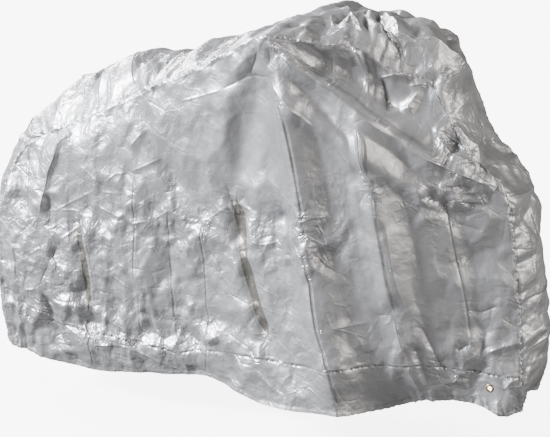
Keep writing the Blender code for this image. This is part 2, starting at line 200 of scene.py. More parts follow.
# %% The section table
Section = namedtuple("Section", (
    "name foot_x arris_x head_x bow hem_z low_z arris_z seam_z "
    "hem_y low_y mid_y arris_y seam_y sink crown_x crown_z square"))
SECTIONS = [Section(*row) for row in (
    ("rear", -0.510, -0.470, -0.400, -0.042, 0.140, 0.270, 0.710, 0.812,
     0.085, 0.100, 0.110, 0.105, 0.100, 0.000, -0.482, 0.808, 2.0),
    ("tail", -0.390, -0.320, -0.290, -0.010, 0.125, 0.250, 0.750, 0.850,
     0.105, 0.125, 0.150, 0.140, 0.115, 0.000, -0.358, 0.920, 1.9),
    ("rear_pleat", -0.175, -0.200, -0.170, 0.000, 0.105, 0.236, 0.780, 0.903,
     0.120, 0.140, 0.165, 0.165, 0.140, 0.000, -0.190, 1.022, 1.8),
    ("rest_rear", -0.025, 0.018, 0.040, 0.000, 0.122, 0.230, 0.860, 0.993,
     0.135, 0.150, 0.180, 0.190, 0.180, 0.000, -0.035, 1.086, 2.2),
    ("rest_front", 0.135, 0.140, 0.140, 0.000, 0.137, 0.215, 0.900, 1.038,
     0.140, 0.155, 0.190, 0.210, 0.205, 0.000, 0.130, 1.101, 2.2),
    ("middle", 0.245, 0.265, 0.260, 0.000, 0.147, 0.235, 0.950, 1.088,
     0.160, 0.170, 0.200, 0.230, 0.225, 0.000, 0.250, 1.144, 2.2),
    ("front_pleat", 0.465, 0.375, 0.400, 0.000, 0.112, 0.250, 1.000, 1.150,
     0.235, 0.235, 0.235, 0.250, 0.260, 0.000, 0.390, 1.186, 2.2),
    ("peak", 0.600, 0.535, 0.526, 0.000, 0.116, 0.252, 1.100, 1.207,
     0.265, 0.255, 0.255, 0.275, 0.300, 0.000, 0.526, 1.227, 2.2),
    ("peak_fold", 0.725, 0.570, 0.575, 0.000, 0.128, 0.262, 1.150, 1.200,
     0.275, 0.275, 0.275, 0.285, 0.280, 0.008, 0.580, 1.238, 2.4),
    ("open_wall", 0.815, 0.670, 0.665, 0.000, 0.125, 0.270, 1.090, 1.182,
     0.180, 0.250, 0.270, 0.275, 0.240, 0.045, 0.670, 1.238, 3.0),
    ("hump_fold", 0.944, 0.785, 0.750, 0.000, 0.165, 0.277, 1.010, 1.172,
     0.150, 0.190, 0.240, 0.255, 0.200, 0.065, 0.750, 1.222, 4.0),
    ("hump", 1.030, 0.895, 0.840, 0.000, 0.168, 0.270, 0.925, 1.110,
     0.135, 0.170, 0.210, 0.220, 0.160, 0.050, 0.850, 1.222, 4.5),
    ("brow_fold", 1.100, 1.002, 0.930, 0.000, 0.160, 0.260, 0.870, 1.080,
     0.130, 0.140, 0.170, 0.180, 0.120, 0.030, 0.965, 1.164, 3.5),
    ("brow", 1.170, 1.100, 1.060, 0.000, 0.136, 0.252, 0.810, 0.886,
     0.120, 0.120, 0.130, 0.130, 0.115, 0.010, 1.052, 0.920, 1.7),
    ("front", 1.218, 1.172, 1.158, 0.010, 0.150, 0.250, 0.750, 0.795,
     0.095, 0.100, 0.100, 0.100, 0.100, 0.000, 1.158, 0.780, 1.7),
)]
EndLine = namedtuple("EndLine", "hem_x hem_z low_x low_z mid_x mid_z arris_x arris_z square")
REAR_LINE = EndLine(-0.552, 0.145, -0.568, 0.270, -0.570, 0.500, -0.530, 0.705, 2.4)
FRONT_LINE = EndLine(1.200, 0.175, 1.250, 0.280, 1.234, 0.520, 1.192, 0.745, 1.8)
print(len(SECTIONS), "sections")

# %% The broad folds and what is uneven
EYELET_X = 1.129
EYELET_HEIGHT = 0.215
EYELET_HALF = 0.5 * (SECTIONS[-3].hem_y + SECTIONS[-2].hem_y)
FLAT_RADIUS = 0.055
FLAT_BLEND = 0.100
Uneven = namedtuple("Uneven", "peak_lift front_tuck")
NEAR_UNEVEN = Uneven(0.000, 0.000)
FAR_UNEVEN = Uneven(0.020, 0.035)
PEAK_SECTION = 7
LIFT_SECTIONS = 3
TUCK_FROM = 0.95
TUCK_LENGTH = 0.27
FOLD_FADE = 0.10
STRIP_FOLD_FROM = 0.82
STRIP_FOLD_BLEND = 0.06
STRIP_FOLD_EDGE = 0.35
Fold = namedtuple("Fold", "name top_x top_z foot_x foot_z height behind ahead")
NEAR_FOLDS = [Fold(*row) for row in (
    ("tail_ridge", -0.25, 0.84, -0.4, 0.56, 0.009, 0.06, 0.065),
    ("rear_pleat", -0.205, 0.6, -0.17, 0.28, -0.006, 0.04, 0.035),
    ("front_pleat", 0.383, 0.7, 0.48, 0.3, -0.01, 0.06, 0.055),
    ("peak_furrow", 0.455, 1.0, 0.385, 0.76, -0.01, 0.095, 0.085),
    ("peak_edge", 0.565, 1.1, 0.726, 0.13, 0.017, 0.09, 0.13),
    ("peak_edge_back", 0.665, 1.0, 0.83, 0.15, -0.008, 0.075, 0.08),
    ("brow_roll", 0.62, 1.02, 0.96, 0.78, 0.012, 0.05, 0.045),
    ("hump_edge", 0.79, 0.96, 0.935, 0.2, 0.015, 0.07, 0.11),
    ("hump_edge_back", 0.875, 0.9, 1.02, 0.21, -0.007, 0.07, 0.07),
    ("front_edge", 1.03, 0.7, 1.09, 0.3, 0.009, 0.05, 0.035),
)]
FAR_FOLDS = [Fold(*row) for row in (
    ("tail_ridge", -0.23, 0.83, -0.34, 0.42, 0.012, 0.05, 0.06),
    ("rest_fold", 0.05, 0.93, 0.02, 0.3, 0.012, 0.06, 0.05),
    ("peak_furrow", 0.45, 1.08, 0.33, 0.5, -0.018, 0.06, 0.07),
    ("peak_edge", 0.56, 1.12, 0.69, 0.14, 0.02, 0.06, 0.08),
    ("hump_edge", 0.8, 0.93, 0.9, 0.21, -0.02, 0.06, 0.06),
    ("front_edge", 1.01, 0.76, 1.06, 0.26, 0.012, 0.045, 0.05),
)]
STRIP_FOLDS = [Fold(*row) for row in (
    ("tail_fold", -0.3, -0.08, -0.21, 0.08, 0.009, 0.04, 0.05),
    ("rest_fold", -0.05, -0.15, 0.06, 0.15, 0.008, 0.045, 0.06),
    ("middle_fold", 0.25, -0.18, 0.33, 0.18, -0.008, 0.06, 0.05),
    ("peak_bar", 0.53, -0.29, 0.53, 0.29, 0.01, 0.05, 0.045),
    ("hump_rear", 0.64, -0.18, 0.67, 0.2, -0.012, 0.04, 0.05),
    ("hump_top", 0.79, -0.15, 0.77, 0.15, 0.008, 0.05, 0.05),
)]
print(len(NEAR_FOLDS), "near folds,", len(FAR_FOLDS), "far folds")

# %% [markdown]
# ## Nets of fine cloth
#
# A grid of points is the simplest cloth. The plain model has a coarse one. Here the same
# curves are read at about five and a half millimetres, which is fine enough for creases.
# The rows of a side run from its hem to its top seam and the columns from rear to front.
# The strip takes its edges from the two sides, so the sewn edges match point for point.

# %% Reading a table along smooth curves
def smooth(rows, at):
    """Read a table at fractional row numbers, along curves that never overshoot."""
    rows = np.asarray(rows, dtype=float)
    steps = np.diff(rows, axis=0)
    slopes = np.zeros_like(rows)
    before, after = steps[:-1], steps[1:]
    same_way = before * after > 0
    total = np.where(same_way, before + after, 1.0)
    slopes[1:-1] = np.where(same_way, 2 * before * after / total, 0.0)
    slopes[0], slopes[-1] = steps[0], steps[-1]
    low = np.clip(np.floor(at).astype(int), 0, len(rows) - 2)
    part = (at - low).reshape((-1,) + (1,) * (rows.ndim - 1))
    return ((1 + 2 * part) * (1 - part) ** 2 * rows[low]
            + part * (1 - part) ** 2 * slopes[low]
            + part ** 2 * (3 - 2 * part) * rows[low + 1]
            + part ** 2 * (part - 1) * slopes[low + 1])


def ease(value):
    """0 to 1 with level ends."""
    value = np.clip(value, 0.0, 1.0)
    return value * value * (3 - 2 * value)


# %% The height of the broad folds
def fold_height(folds, x, z):
    """How far the broad folds push the cloth out."""
    total = np.zeros_like(x)
    for fold in folds:
        run_x, run_z = fold.foot_x - fold.top_x, fold.foot_z - fold.top_z
        length = math.hypot(run_x, run_z)
        along = ((x - fold.top_x) * run_x + (z - fold.top_z) * run_z) / length
        across = ((x - fold.top_x) * -run_z + (z - fold.top_z) * run_x) / length
        width = np.where(across < 0, fold.behind, fold.ahead)
        profile = ease(1 - np.abs(across) / width)
        fade = ease(1 + along / FOLD_FADE) * ease(1 + (length - along) / FOLD_FADE)
        total += fold.height * profile * fade
    return total


# %% The fine grid
BAND_ROWS = 24
WALL_ROWS = 128
BROW_ROWS = 28
COLUMNS = 312
STRIP_STEPS = 68
ROWS = np.concatenate([
    np.linspace(0, 1, BAND_ROWS + 1)[:-1],
    np.linspace(1, 3, WALL_ROWS + 1)[:-1],
    np.linspace(3, 4, BROW_ROWS + 1),
])
ARRIS_LINE = [section.arris_x for section in SECTIONS]
STATIONS = np.interp(np.linspace(ARRIS_LINE[0], ARRIS_LINE[-1], COLUMNS + 1),
                     ARRIS_LINE, range(len(SECTIONS)))
print(len(ROWS), "rows and", len(STATIONS), "columns on each side")


# %% The five levels of a section
LOW_BOW = 0.6
SINK_SHAPE = 0.7
END_SECTIONS = 1.5
SEAM_ROWS = 0.5


def section_levels(section):
    """The points of a section at its five levels, as rows of x, half width, height."""
    low = (section.low_z - section.hem_z) / (section.arris_z - section.hem_z)
    middle_z = 0.5 * (section.low_z + section.arris_z)
    middle = (middle_z - section.hem_z) / (section.arris_z - section.hem_z)
    lean = section.arris_x - section.foot_x
    return [
        (section.foot_x, section.hem_y, section.hem_z),
        (section.foot_x + low * lean + LOW_BOW * section.bow, section.low_y, section.low_z),
        (section.foot_x + middle * lean + section.bow, section.mid_y, middle_z),
        (section.arris_x, section.arris_y, section.arris_z),
        (section.head_x, section.seam_y, section.seam_z),
    ]


print("rear end", section_levels(SECTIONS[0]))


# %% One side as a net
def side_net(folds, uneven):
    """The points of a side as x, half width and height above the floor."""
    sections = smooth([section_levels(section) for section in SECTIONS], STATIONS)
    net = smooth(sections.transpose(1, 0, 2), ROWS)
    x, half, height = net[..., 0], net[..., 1], net[..., 2]
    sink = smooth([section.sink for section in SECTIONS], STATIONS)
    brow = np.clip(ROWS - 3, 0, 1)[:, None]
    half = half - sink[None, :] * np.sin(math.pi * brow ** SINK_SHAPE)
    to_front = len(SECTIONS) - 1 - STATIONS
    inside = ease(STATIONS / END_SECTIONS) * ease(to_front / END_SECTIONS)
    below_seam = ease((4 - ROWS) / SEAM_ROWS)[:, None]
    half = half + fold_height(folds, x, height) * inside[None, :] * below_seam
    low = ease(1 - ROWS / 2)[:, None]
    x = x - uneven.front_tuck * ease((x - TUCK_FROM) / TUCK_LENGTH) * low
    distance = np.hypot(x - EYELET_X, height - EYELET_HEIGHT)
    loose = ease((distance - FLAT_RADIUS) / (FLAT_BLEND - FLAT_RADIUS))
    half = EYELET_HALF + (half - EYELET_HALF) * loose
    near_peak = ease(1 - np.abs(STATIONS - PEAK_SECTION) / LIFT_SECTIONS)
    lift = uneven.peak_lift * near_peak[None, :] * ease(ROWS / 4)[:, None]
    return np.stack([x, half, height + lift], axis=-1)


def to_place(net, side):
    """Give a net its side (-1 near, +1 far) and measure its height from the origin."""
    placed = net.copy()
    placed[..., 1] = side * net[..., 1]
    placed[..., 2] = net[..., 2] + FLOOR
    return placed


# %% The top strip
def border(side):
    """The sewn edge of a side: up at the rear, along the top and down at the front."""
    return np.concatenate([side[:-1, 0], side[-1], side[:-1, -1][::-1]])


def strip_net(near, far):
    """The strip from the rear hem over the top to the front hem, between both sides."""
    crown = smooth([(s.crown_x, s.crown_z, s.square) for s in SECTIONS], STATIONS)

    def end_line(line, corner):
        """The middle line of an end, from its hem to the corner of the top."""
        levels = [
            (line.hem_x, line.hem_z, line.square),
            (line.low_x, line.low_z, line.square),
            (line.mid_x, line.mid_z, line.square),
            (line.arris_x, line.arris_z, line.square),
            (corner[0], corner[1], corner[2]),
        ]
        return smooth(levels, ROWS)

    rear = end_line(REAR_LINE, crown[0])
    front = end_line(FRONT_LINE, crown[-1])[::-1]
    centre = np.concatenate([rear[:-1], crown, front[1:]])
    across = np.linspace(-1, 1, STRIP_STEPS + 1)
    near_edge, far_edge = border(near)[:, None], border(far)[:, None]
    share = 0.5 * (across + 1)[None, :, None]
    strip = near_edge * (1 - share) + far_edge * share
    middle = 0.5 * (near_edge + far_edge)[:, 0]
    arch = 1 - np.abs(across)[None, :] ** centre[:, 2][:, None]
    strip[..., 0] += (centre[:, 0] - middle[:, 0])[:, None] * arch
    strip[..., 2] += (centre[:, 1] + FLOOR - middle[:, 2])[:, None] * arch
    on_top = ease((strip[..., 2] - FLOOR - STRIP_FOLD_FROM) / STRIP_FOLD_BLEND)
    inside = ease((1 - np.abs(across)) / STRIP_FOLD_EDGE)
    strip[..., 2] += fold_height(STRIP_FOLDS, strip[..., 0], strip[..., 1]) * on_top * inside
    return strip


# %% [markdown]
# ## Creases listed one by one
#
# Coated cloth remembers every fold. The long creases were measured one by one: the lines
# it was folded along when packed, the pleats that hang from the peaks, the knots between.
# Each is a short line of points, written as (x, height above the floor), with how far the
# cloth stands out (or in, when negative) and how wide it is on its rear or lower side and
# on its front or upper side. A "crest" is straight-sided like a roof, and it is what a
# row without a form means. A "soft" one is round, a "slot" has a flat bottom, a "press"
# line is a broad tilt with a thin furrow in it, a "plane" is a roof without a sharp edge,
# and a "line" is a sharp edge without a roof.
# A height field pushed along the cloth's own normals is enough, since nothing overlaps.

# %% The form of a crease
Crease = namedtuple("Crease", "name points height back fore form", defaults=("crest",))
PLANE_SPREAD = 1.7
CREST_RADIUS = 0.0012
CREST_POWER = 1.2
SLOT_STEEP = 2.4
FAR_OFF = 9.0
END_SHARE = 0.30
END_LIMIT = 0.050
END_REACH = {"soft": 0.130, "plane": 0.090}
END_LEFT = 0.15


def along_line(x, z, points):
    """Distance to a line of points, its side, the place along it and its length."""
    nearest = np.full(x.shape, FAR_OFF)
    side = np.zeros(x.shape)
    place = np.zeros(x.shape)
    run = 0.0
    for (from_x, from_z), (to_x, to_z) in zip(points, points[1:]):
        length = math.hypot(to_x - from_x, to_z - from_z)
        way_x, way_z = (to_x - from_x) / length, (to_z - from_z) / length
        step = np.clip((x - from_x) * way_x + (z - from_z) * way_z, 0, length)
        off_x, off_z = x - from_x - step * way_x, z - from_z - step * way_z
        distance = np.hypot(off_x, off_z)
        closer = distance < nearest
        nearest = np.where(closer, distance, nearest)
        side = np.where(closer, np.sign(way_x * off_z - way_z * off_x), side)
        place = np.where(closer, run + step, place)
        run += length
    return nearest, side, place, run


# %% The height of a whole table of creases
def crease_height(creases, x, z):
    """The sum of all creases of a table."""
    total = np.zeros(x.shape)
    for crease in creases:
        if crease.form == "line":
            continue
        reach = PLANE_SPREAD * max(crease.back, crease.fore)
        corners = np.array(crease.points)
        low, high = corners.min(axis=0) - reach, corners.max(axis=0) + reach
        here = (x > low[0]) & (x < high[0]) & (z > low[1]) & (z < high[1])
        if not here.any():
            continue
        distance, side, place, length = along_line(x[here], z[here], crease.points)
        width = np.where(side < 0, crease.back, crease.fore)
        rounded = np.sqrt(distance ** 2 + CREST_RADIUS ** 2) - CREST_RADIUS
        if crease.form == "soft":
            profile = ease(1 - distance / width)
        elif crease.form == "slot":
            profile = ease(SLOT_STEEP * (1 - distance / width))
        else:
            profile = np.clip(1 - rounded / (PLANE_SPREAD * width), 0, 1) ** CREST_POWER
        end = min(END_SHARE * length, END_REACH.get(crease.form, END_LIMIT))
        fade = ease(place / end + END_LEFT) * ease((length - place) / end + END_LEFT)
        total[here] += crease.height * profile * fade
    return total


# %% The sharp line of a crease
# The mesh carries the planes beside a crease. Its edge is finer than the mesh, so each
# point only notes how far the nearest crease is, and the finish draws the edge from that.
LINE_REACH = 0.020
LINE_SEEN = 0.0085
LINE_SHARE = 0.36
LINE_LEAST = 0.0010
LINE_MOST = 0.0026
PRESS_LINE = -0.0019
LINE_CHANGE = 0.045
LINE_FAINT = 0.45
LINE_VARY = 0.75
LINE_SEED = 77
LINE_END_SHARE = 0.25
LINE_END = 0.030
SLOT_SHARE = 0.62
SLOT_TAPER = 0.070
SLOT_LEFT = 0.1
SLOT_REACH = 0.05


def line_size(crease):
    """Height of the sharp edge: positive for a ridge, negative for a furrow."""
    if crease.form in ("soft", "slot", "plane"):
        return 0.0
    if crease.form == "press":
        return PRESS_LINE
    if crease.form == "line":
        return crease.height
    size = min(max(LINE_SHARE * abs(crease.height), LINE_LEAST), LINE_MOST)
    return math.copysign(size, crease.height)


# %% How far the nearest sharp line and slot are
def crease_lines(creases, x, z):
    """Signed distance to the nearest crease and the size of its edge."""
    offset = np.full(x.shape, FAR_OFF)
    size = np.zeros(x.shape)
    for crease in creases:
        tall = line_size(crease)
        if tall == 0.0:
            continue
        corners = np.array(crease.points)
        low, high = corners.min(axis=0) - LINE_REACH, corners.max(axis=0) + LINE_REACH
        here = (x > low[0]) & (x < high[0]) & (z > low[1]) & (z < high[1])
        if not here.any():
            continue
        distance, side, place, length = along_line(x[here], z[here], crease.points)
        end = min(LINE_END_SHARE * length, LINE_END)
        fade = ease(place / end) * ease((length - place) / end)
        change = cloud(x[here], z[here], LINE_CHANGE, LINE_SEED)
        fade = fade * (LINE_FAINT + LINE_VARY * change)
        closer = distance < np.abs(offset[here])
        offset[here] = np.where(closer, side * distance, offset[here])
        size[here] = np.where(closer, tall * fade, size[here])
    return np.clip(offset, -LINE_REACH, LINE_REACH), size * (np.abs(offset) < LINE_SEEN)


def slot_edges(creases, x, z):
    """Distance outside the nearest slot's edge, negative inside the slot."""
    outside = np.full(x.shape, SLOT_REACH)
    for crease in creases:
        if crease.form != "slot":
            continue
        distance, side, place, length = along_line(x, z, crease.points)
        half = 0.5 * (crease.back + crease.fore) * SLOT_SHARE
        taper = ease(place / SLOT_TAPER + SLOT_LEFT)
        taper = taper * ease((length - place) / SLOT_TAPER + SLOT_LEFT)
        outside = np.minimum(outside, distance - half * taper)
    return np.clip(outside, -SLOT_REACH, SLOT_REACH)


# %% The creases of the near side, rear part
NEAR_REAR = [Crease(*row) for row in (
    ("press_tail", ((-0.4, 0.805), (-0.385, 0.665), (-0.395, 0.585)), -0.0039, 0.05, 0.05,
     "press"),
    ("tail_pleat", ((-0.205, 0.855), (-0.255, 0.822), (-0.27, 0.775), (-0.295, 0.73),
     (-0.325, 0.615), (-0.34, 0.588)), 0.0075, 0.07, 0.009),
    ("tail_furrow", ((-0.435, 0.515), (-0.39, 0.55), (-0.345, 0.585)), -0.0032, 0.012, 0.012),
    ("facet_edge", ((-0.34, 0.585), (-0.27, 0.515)), 0.004, 0.073, 0.022),
    ("thin_furrow", ((-0.27, 0.512), (-0.305, 0.453), (-0.335, 0.4), (-0.355, 0.362)), -0.0036,
     0.008, 0.009),
    ("cross_ridge", ((-0.265, 0.517), (-0.2, 0.565), (-0.165, 0.588)), 0.004, 0.064, 0.022),
    ("press_end", ((-0.453, 0.512), (-0.445, 0.372)), 0.0033, 0.05, 0.05, "press"),
    ("slot_one", ((-0.192, 0.605), (-0.18, 0.48), (-0.175, 0.405), (-0.182, 0.295)), -0.0032,
     0.018, 0.02, "slot"),
    ("slot_one_lip", ((-0.167, 0.58), (-0.157, 0.48), (-0.152, 0.405), (-0.158, 0.33)), 0.0024,
     0.008, 0.012),
    ("shoulder_fall", ((-0.172, 0.765), (-0.127, 0.738), (-0.084, 0.714)), 0.0032, 0.048, 0.019),
    ("shoulder_rise", ((-0.084, 0.716), (-0.037, 0.752), (0.012, 0.758)), 0.0032, 0.056, 0.019),
    ("long_cross", ((-0.278, 0.611), (-0.199, 0.653), (-0.111, 0.696)), 0.0036, 0.048, 0.015),
    ("press_two", ((0.032, 0.762), (0.022, 0.612), (0.013, 0.474), (0.02, 0.364), (0.012, 0.25)),
     0.0052, 0.055, 0.05, "press"),
    ("under_seam", ((0.01, 0.76), (0.072, 0.786), (0.133, 0.816)), 0.004, 0.025, 0.019),
    ("small_tent", ((0.074, 0.891), (0.043, 0.861), (0.018, 0.834)), 0.0032, 0.019, 0.019),
    ("seam_valley", ((0.029, 0.983), (0.089, 0.895), (0.132, 0.801), (0.222, 0.682)), -0.013,
     0.05, 0.06, "soft"),
    ("press_three", ((0.148, 0.657), (0.13, 0.518), (0.138, 0.378), (0.136, 0.234)), -0.0049,
     0.055, 0.055, "press"),
    ("cross_rise", ((0.084, 0.619), (0.153, 0.66), (0.218, 0.641)), 0.004, 0.04, 0.019),
    ("cross_knot", ((0.187, 0.639), (0.222, 0.64), (0.26, 0.635), (0.29, 0.648), (0.349, 0.687),
     (0.373, 0.698)), 0.0048, 0.035, 0.019),
    ("press_four", ((0.264, 0.635), (0.264, 0.457), (0.262, 0.332), (0.259, 0.253),
     (0.24, 0.16)), 0.0046, 0.055, 0.055, "press"),
    ("shelf_valley", ((-0.37, 0.253), (-0.18, 0.261), (-0.005, 0.29), (0.158, 0.311),
     (0.261, 0.329), (0.414, 0.339), (0.484, 0.331)), -0.006, 0.07, 0.05, "soft"),
    ("shelf_crest", ((-0.3, 0.195), (-0.1, 0.21), (0.1, 0.2), (0.3, 0.215)), 0.0104, 0.05, 0.06,
     "soft"),
    ("cross_mid", ((-0.121, 0.646), (0.016, 0.605), (0.082, 0.619)), 0.004, 0.032, 0.012),
    ("tail_facet", ((-0.439, 0.386), (-0.415, 0.34), (-0.363, 0.354)), 0.0048, 0.019, 0.015),
    ("tail_dark", ((-0.349, 0.343), (-0.339, 0.301), (-0.33, 0.252)), -0.0056, 0.008, 0.011),
    ("tail_drop", ((-0.41, 0.341), (-0.427, 0.231)), 0.0032, 0.012, 0.012),
    ("rear_line", ((-0.51, 0.397), (-0.476, 0.347), (-0.455, 0.3), (-0.448, 0.234)), 0.004,
     0.012, 0.009),
    ("rear_patch", ((-0.497, 0.157), (-0.445, 0.228)), 0.004, 0.012, 0.012),
    ("low_press", ((-0.17, 0.256), (-0.182, 0.112)), 0.0039, 0.05, 0.05, "press"),
    ("low_slant", ((-0.341, 0.183), (-0.27, 0.143), (-0.198, 0.115)), -0.004, 0.012, 0.012),
    ("low_facet_one", ((0.006, 0.33), (0.049, 0.287), (0.098, 0.245)), 0.0056, 0.048, 0.019),
    ("low_facet_two", ((-0.175, 0.304), (-0.098, 0.284), (-0.01, 0.247)), 0.0048, 0.048, 0.019),
    ("low_facet_three", ((-0.165, 0.198), (-0.032, 0.211), (0.071, 0.175), (0.156, 0.147)),
     0.0056, 0.064, 0.025),
)]
print(len(NEAR_REAR), "creases on the rear part")

# %% The creases of the near side, under the peak
NEAR_PEAK = [Crease(*row) for row in (
    ("slot_two", ((0.38, 0.73), (0.403, 0.598), (0.428, 0.48), (0.456, 0.396), (0.488, 0.31)),
     -0.0036, 0.024, 0.026, "slot"),
    ("slot_two_lip", ((0.43, 0.62), (0.45, 0.48), (0.48, 0.35)), 0.0032, 0.008, 0.019),
    ("slot_cross", ((0.436, 0.605), (0.479, 0.595), (0.55, 0.615)), 0.0032, 0.012, 0.012),
    ("slot_side", ((0.369, 0.541), (0.393, 0.507), (0.405, 0.49)), 0.004, 0.009, 0.008),
    ("tent_crest", ((0.402, 1.085), (0.39, 1.03), (0.379, 0.981), (0.368, 0.892),
     (0.362, 0.796)), 0.0085, 0.06, 0.05, "soft"),
    ("tent_valley", ((0.495, 1.09), (0.477, 1.035), (0.447, 0.94), (0.421, 0.822),
     (0.398, 0.744)), -0.005, 0.06, 0.09, "soft"),
    ("cone_foot", ((0.354, 0.762), (0.373, 0.698), (0.386, 0.65)), -0.004, 0.012, 0.012),
    ("seam_shelf", ((0.211, 0.99), (0.34, 1.03), (0.368, 1.04)), 0.004, 0.056, 0.015),
    ("peak_arc", ((0.368, 1.04), (0.455, 1.083), (0.539, 1.09)), -0.004, 0.012, 0.012),
    ("peak_pinch_one", ((0.509, 1.17), (0.459, 1.084)), -0.0048, 0.011, 0.011),
    ("peak_pinch_two", ((0.542, 1.178), (0.54, 1.124)), -0.004, 0.009, 0.009),
    ("fold_a", ((0.572, 1.035), (0.589, 0.975), (0.611, 0.859), (0.627, 0.761), (0.638, 0.7),
     (0.645, 0.565), (0.66, 0.493), (0.677, 0.378), (0.712, 0.25), (0.73, 0.15)), 0.018, 0.058,
     0.044, "plane"),
    ("fold_a_groove", ((0.575, 1.035), (0.593, 0.975), (0.615, 0.859), (0.631, 0.761),
     (0.642, 0.7), (0.649, 0.565), (0.664, 0.493), (0.681, 0.378), (0.716, 0.25), (0.734, 0.15)),
     -0.0036, 0.008, 0.008, "line"),
    ("low_level", ((0.706, 0.383), (0.817, 0.403)), 0.0032, 0.012, 0.012),
    ("low_hem_edge", ((0.453, 0.223), (0.467, 0.195), (0.531, 0.155)), 0.0048, 0.009, 0.009),
    ("slant_mid", ((0.661, 0.607), (0.7, 0.561), (0.745, 0.536), (0.782, 0.503), (0.82, 0.488)),
     -0.002, 0.01, 0.012),
    ("ridge_main", ((0.53, 1.195), (0.626, 1.129), (0.792, 1.013), (0.926, 0.898),
     (1.002, 0.856), (1.1, 0.806), (1.143, 0.791)), 0.013, 0.024, 0.026),
    ("ridge_shade", ((0.548, 1.172), (0.628, 1.108), (0.744, 1.04), (0.879, 0.945),
     (0.976, 0.886), (1.075, 0.824)), -0.005, 0.03, 0.014),
    ("ridge_valley", ((0.544, 1.199), (0.655, 1.115), (0.758, 1.044), (0.893, 0.942),
     (0.973, 0.896), (1.05, 0.846)), -0.0048, 0.008, 0.022),
    ("ridge_second", ((0.538, 1.086), (0.62, 1.005), (0.715, 0.923), (0.8, 0.828)), 0.008, 0.036,
     0.026),
    ("valley_second", ((0.574, 1.114), (0.628, 1.063), (0.702, 0.992), (0.777, 0.931),
     (0.8, 0.865)), -0.0091, 0.03, 0.035, "soft"),
)]
print(len(NEAR_PEAK), "creases under the peak")

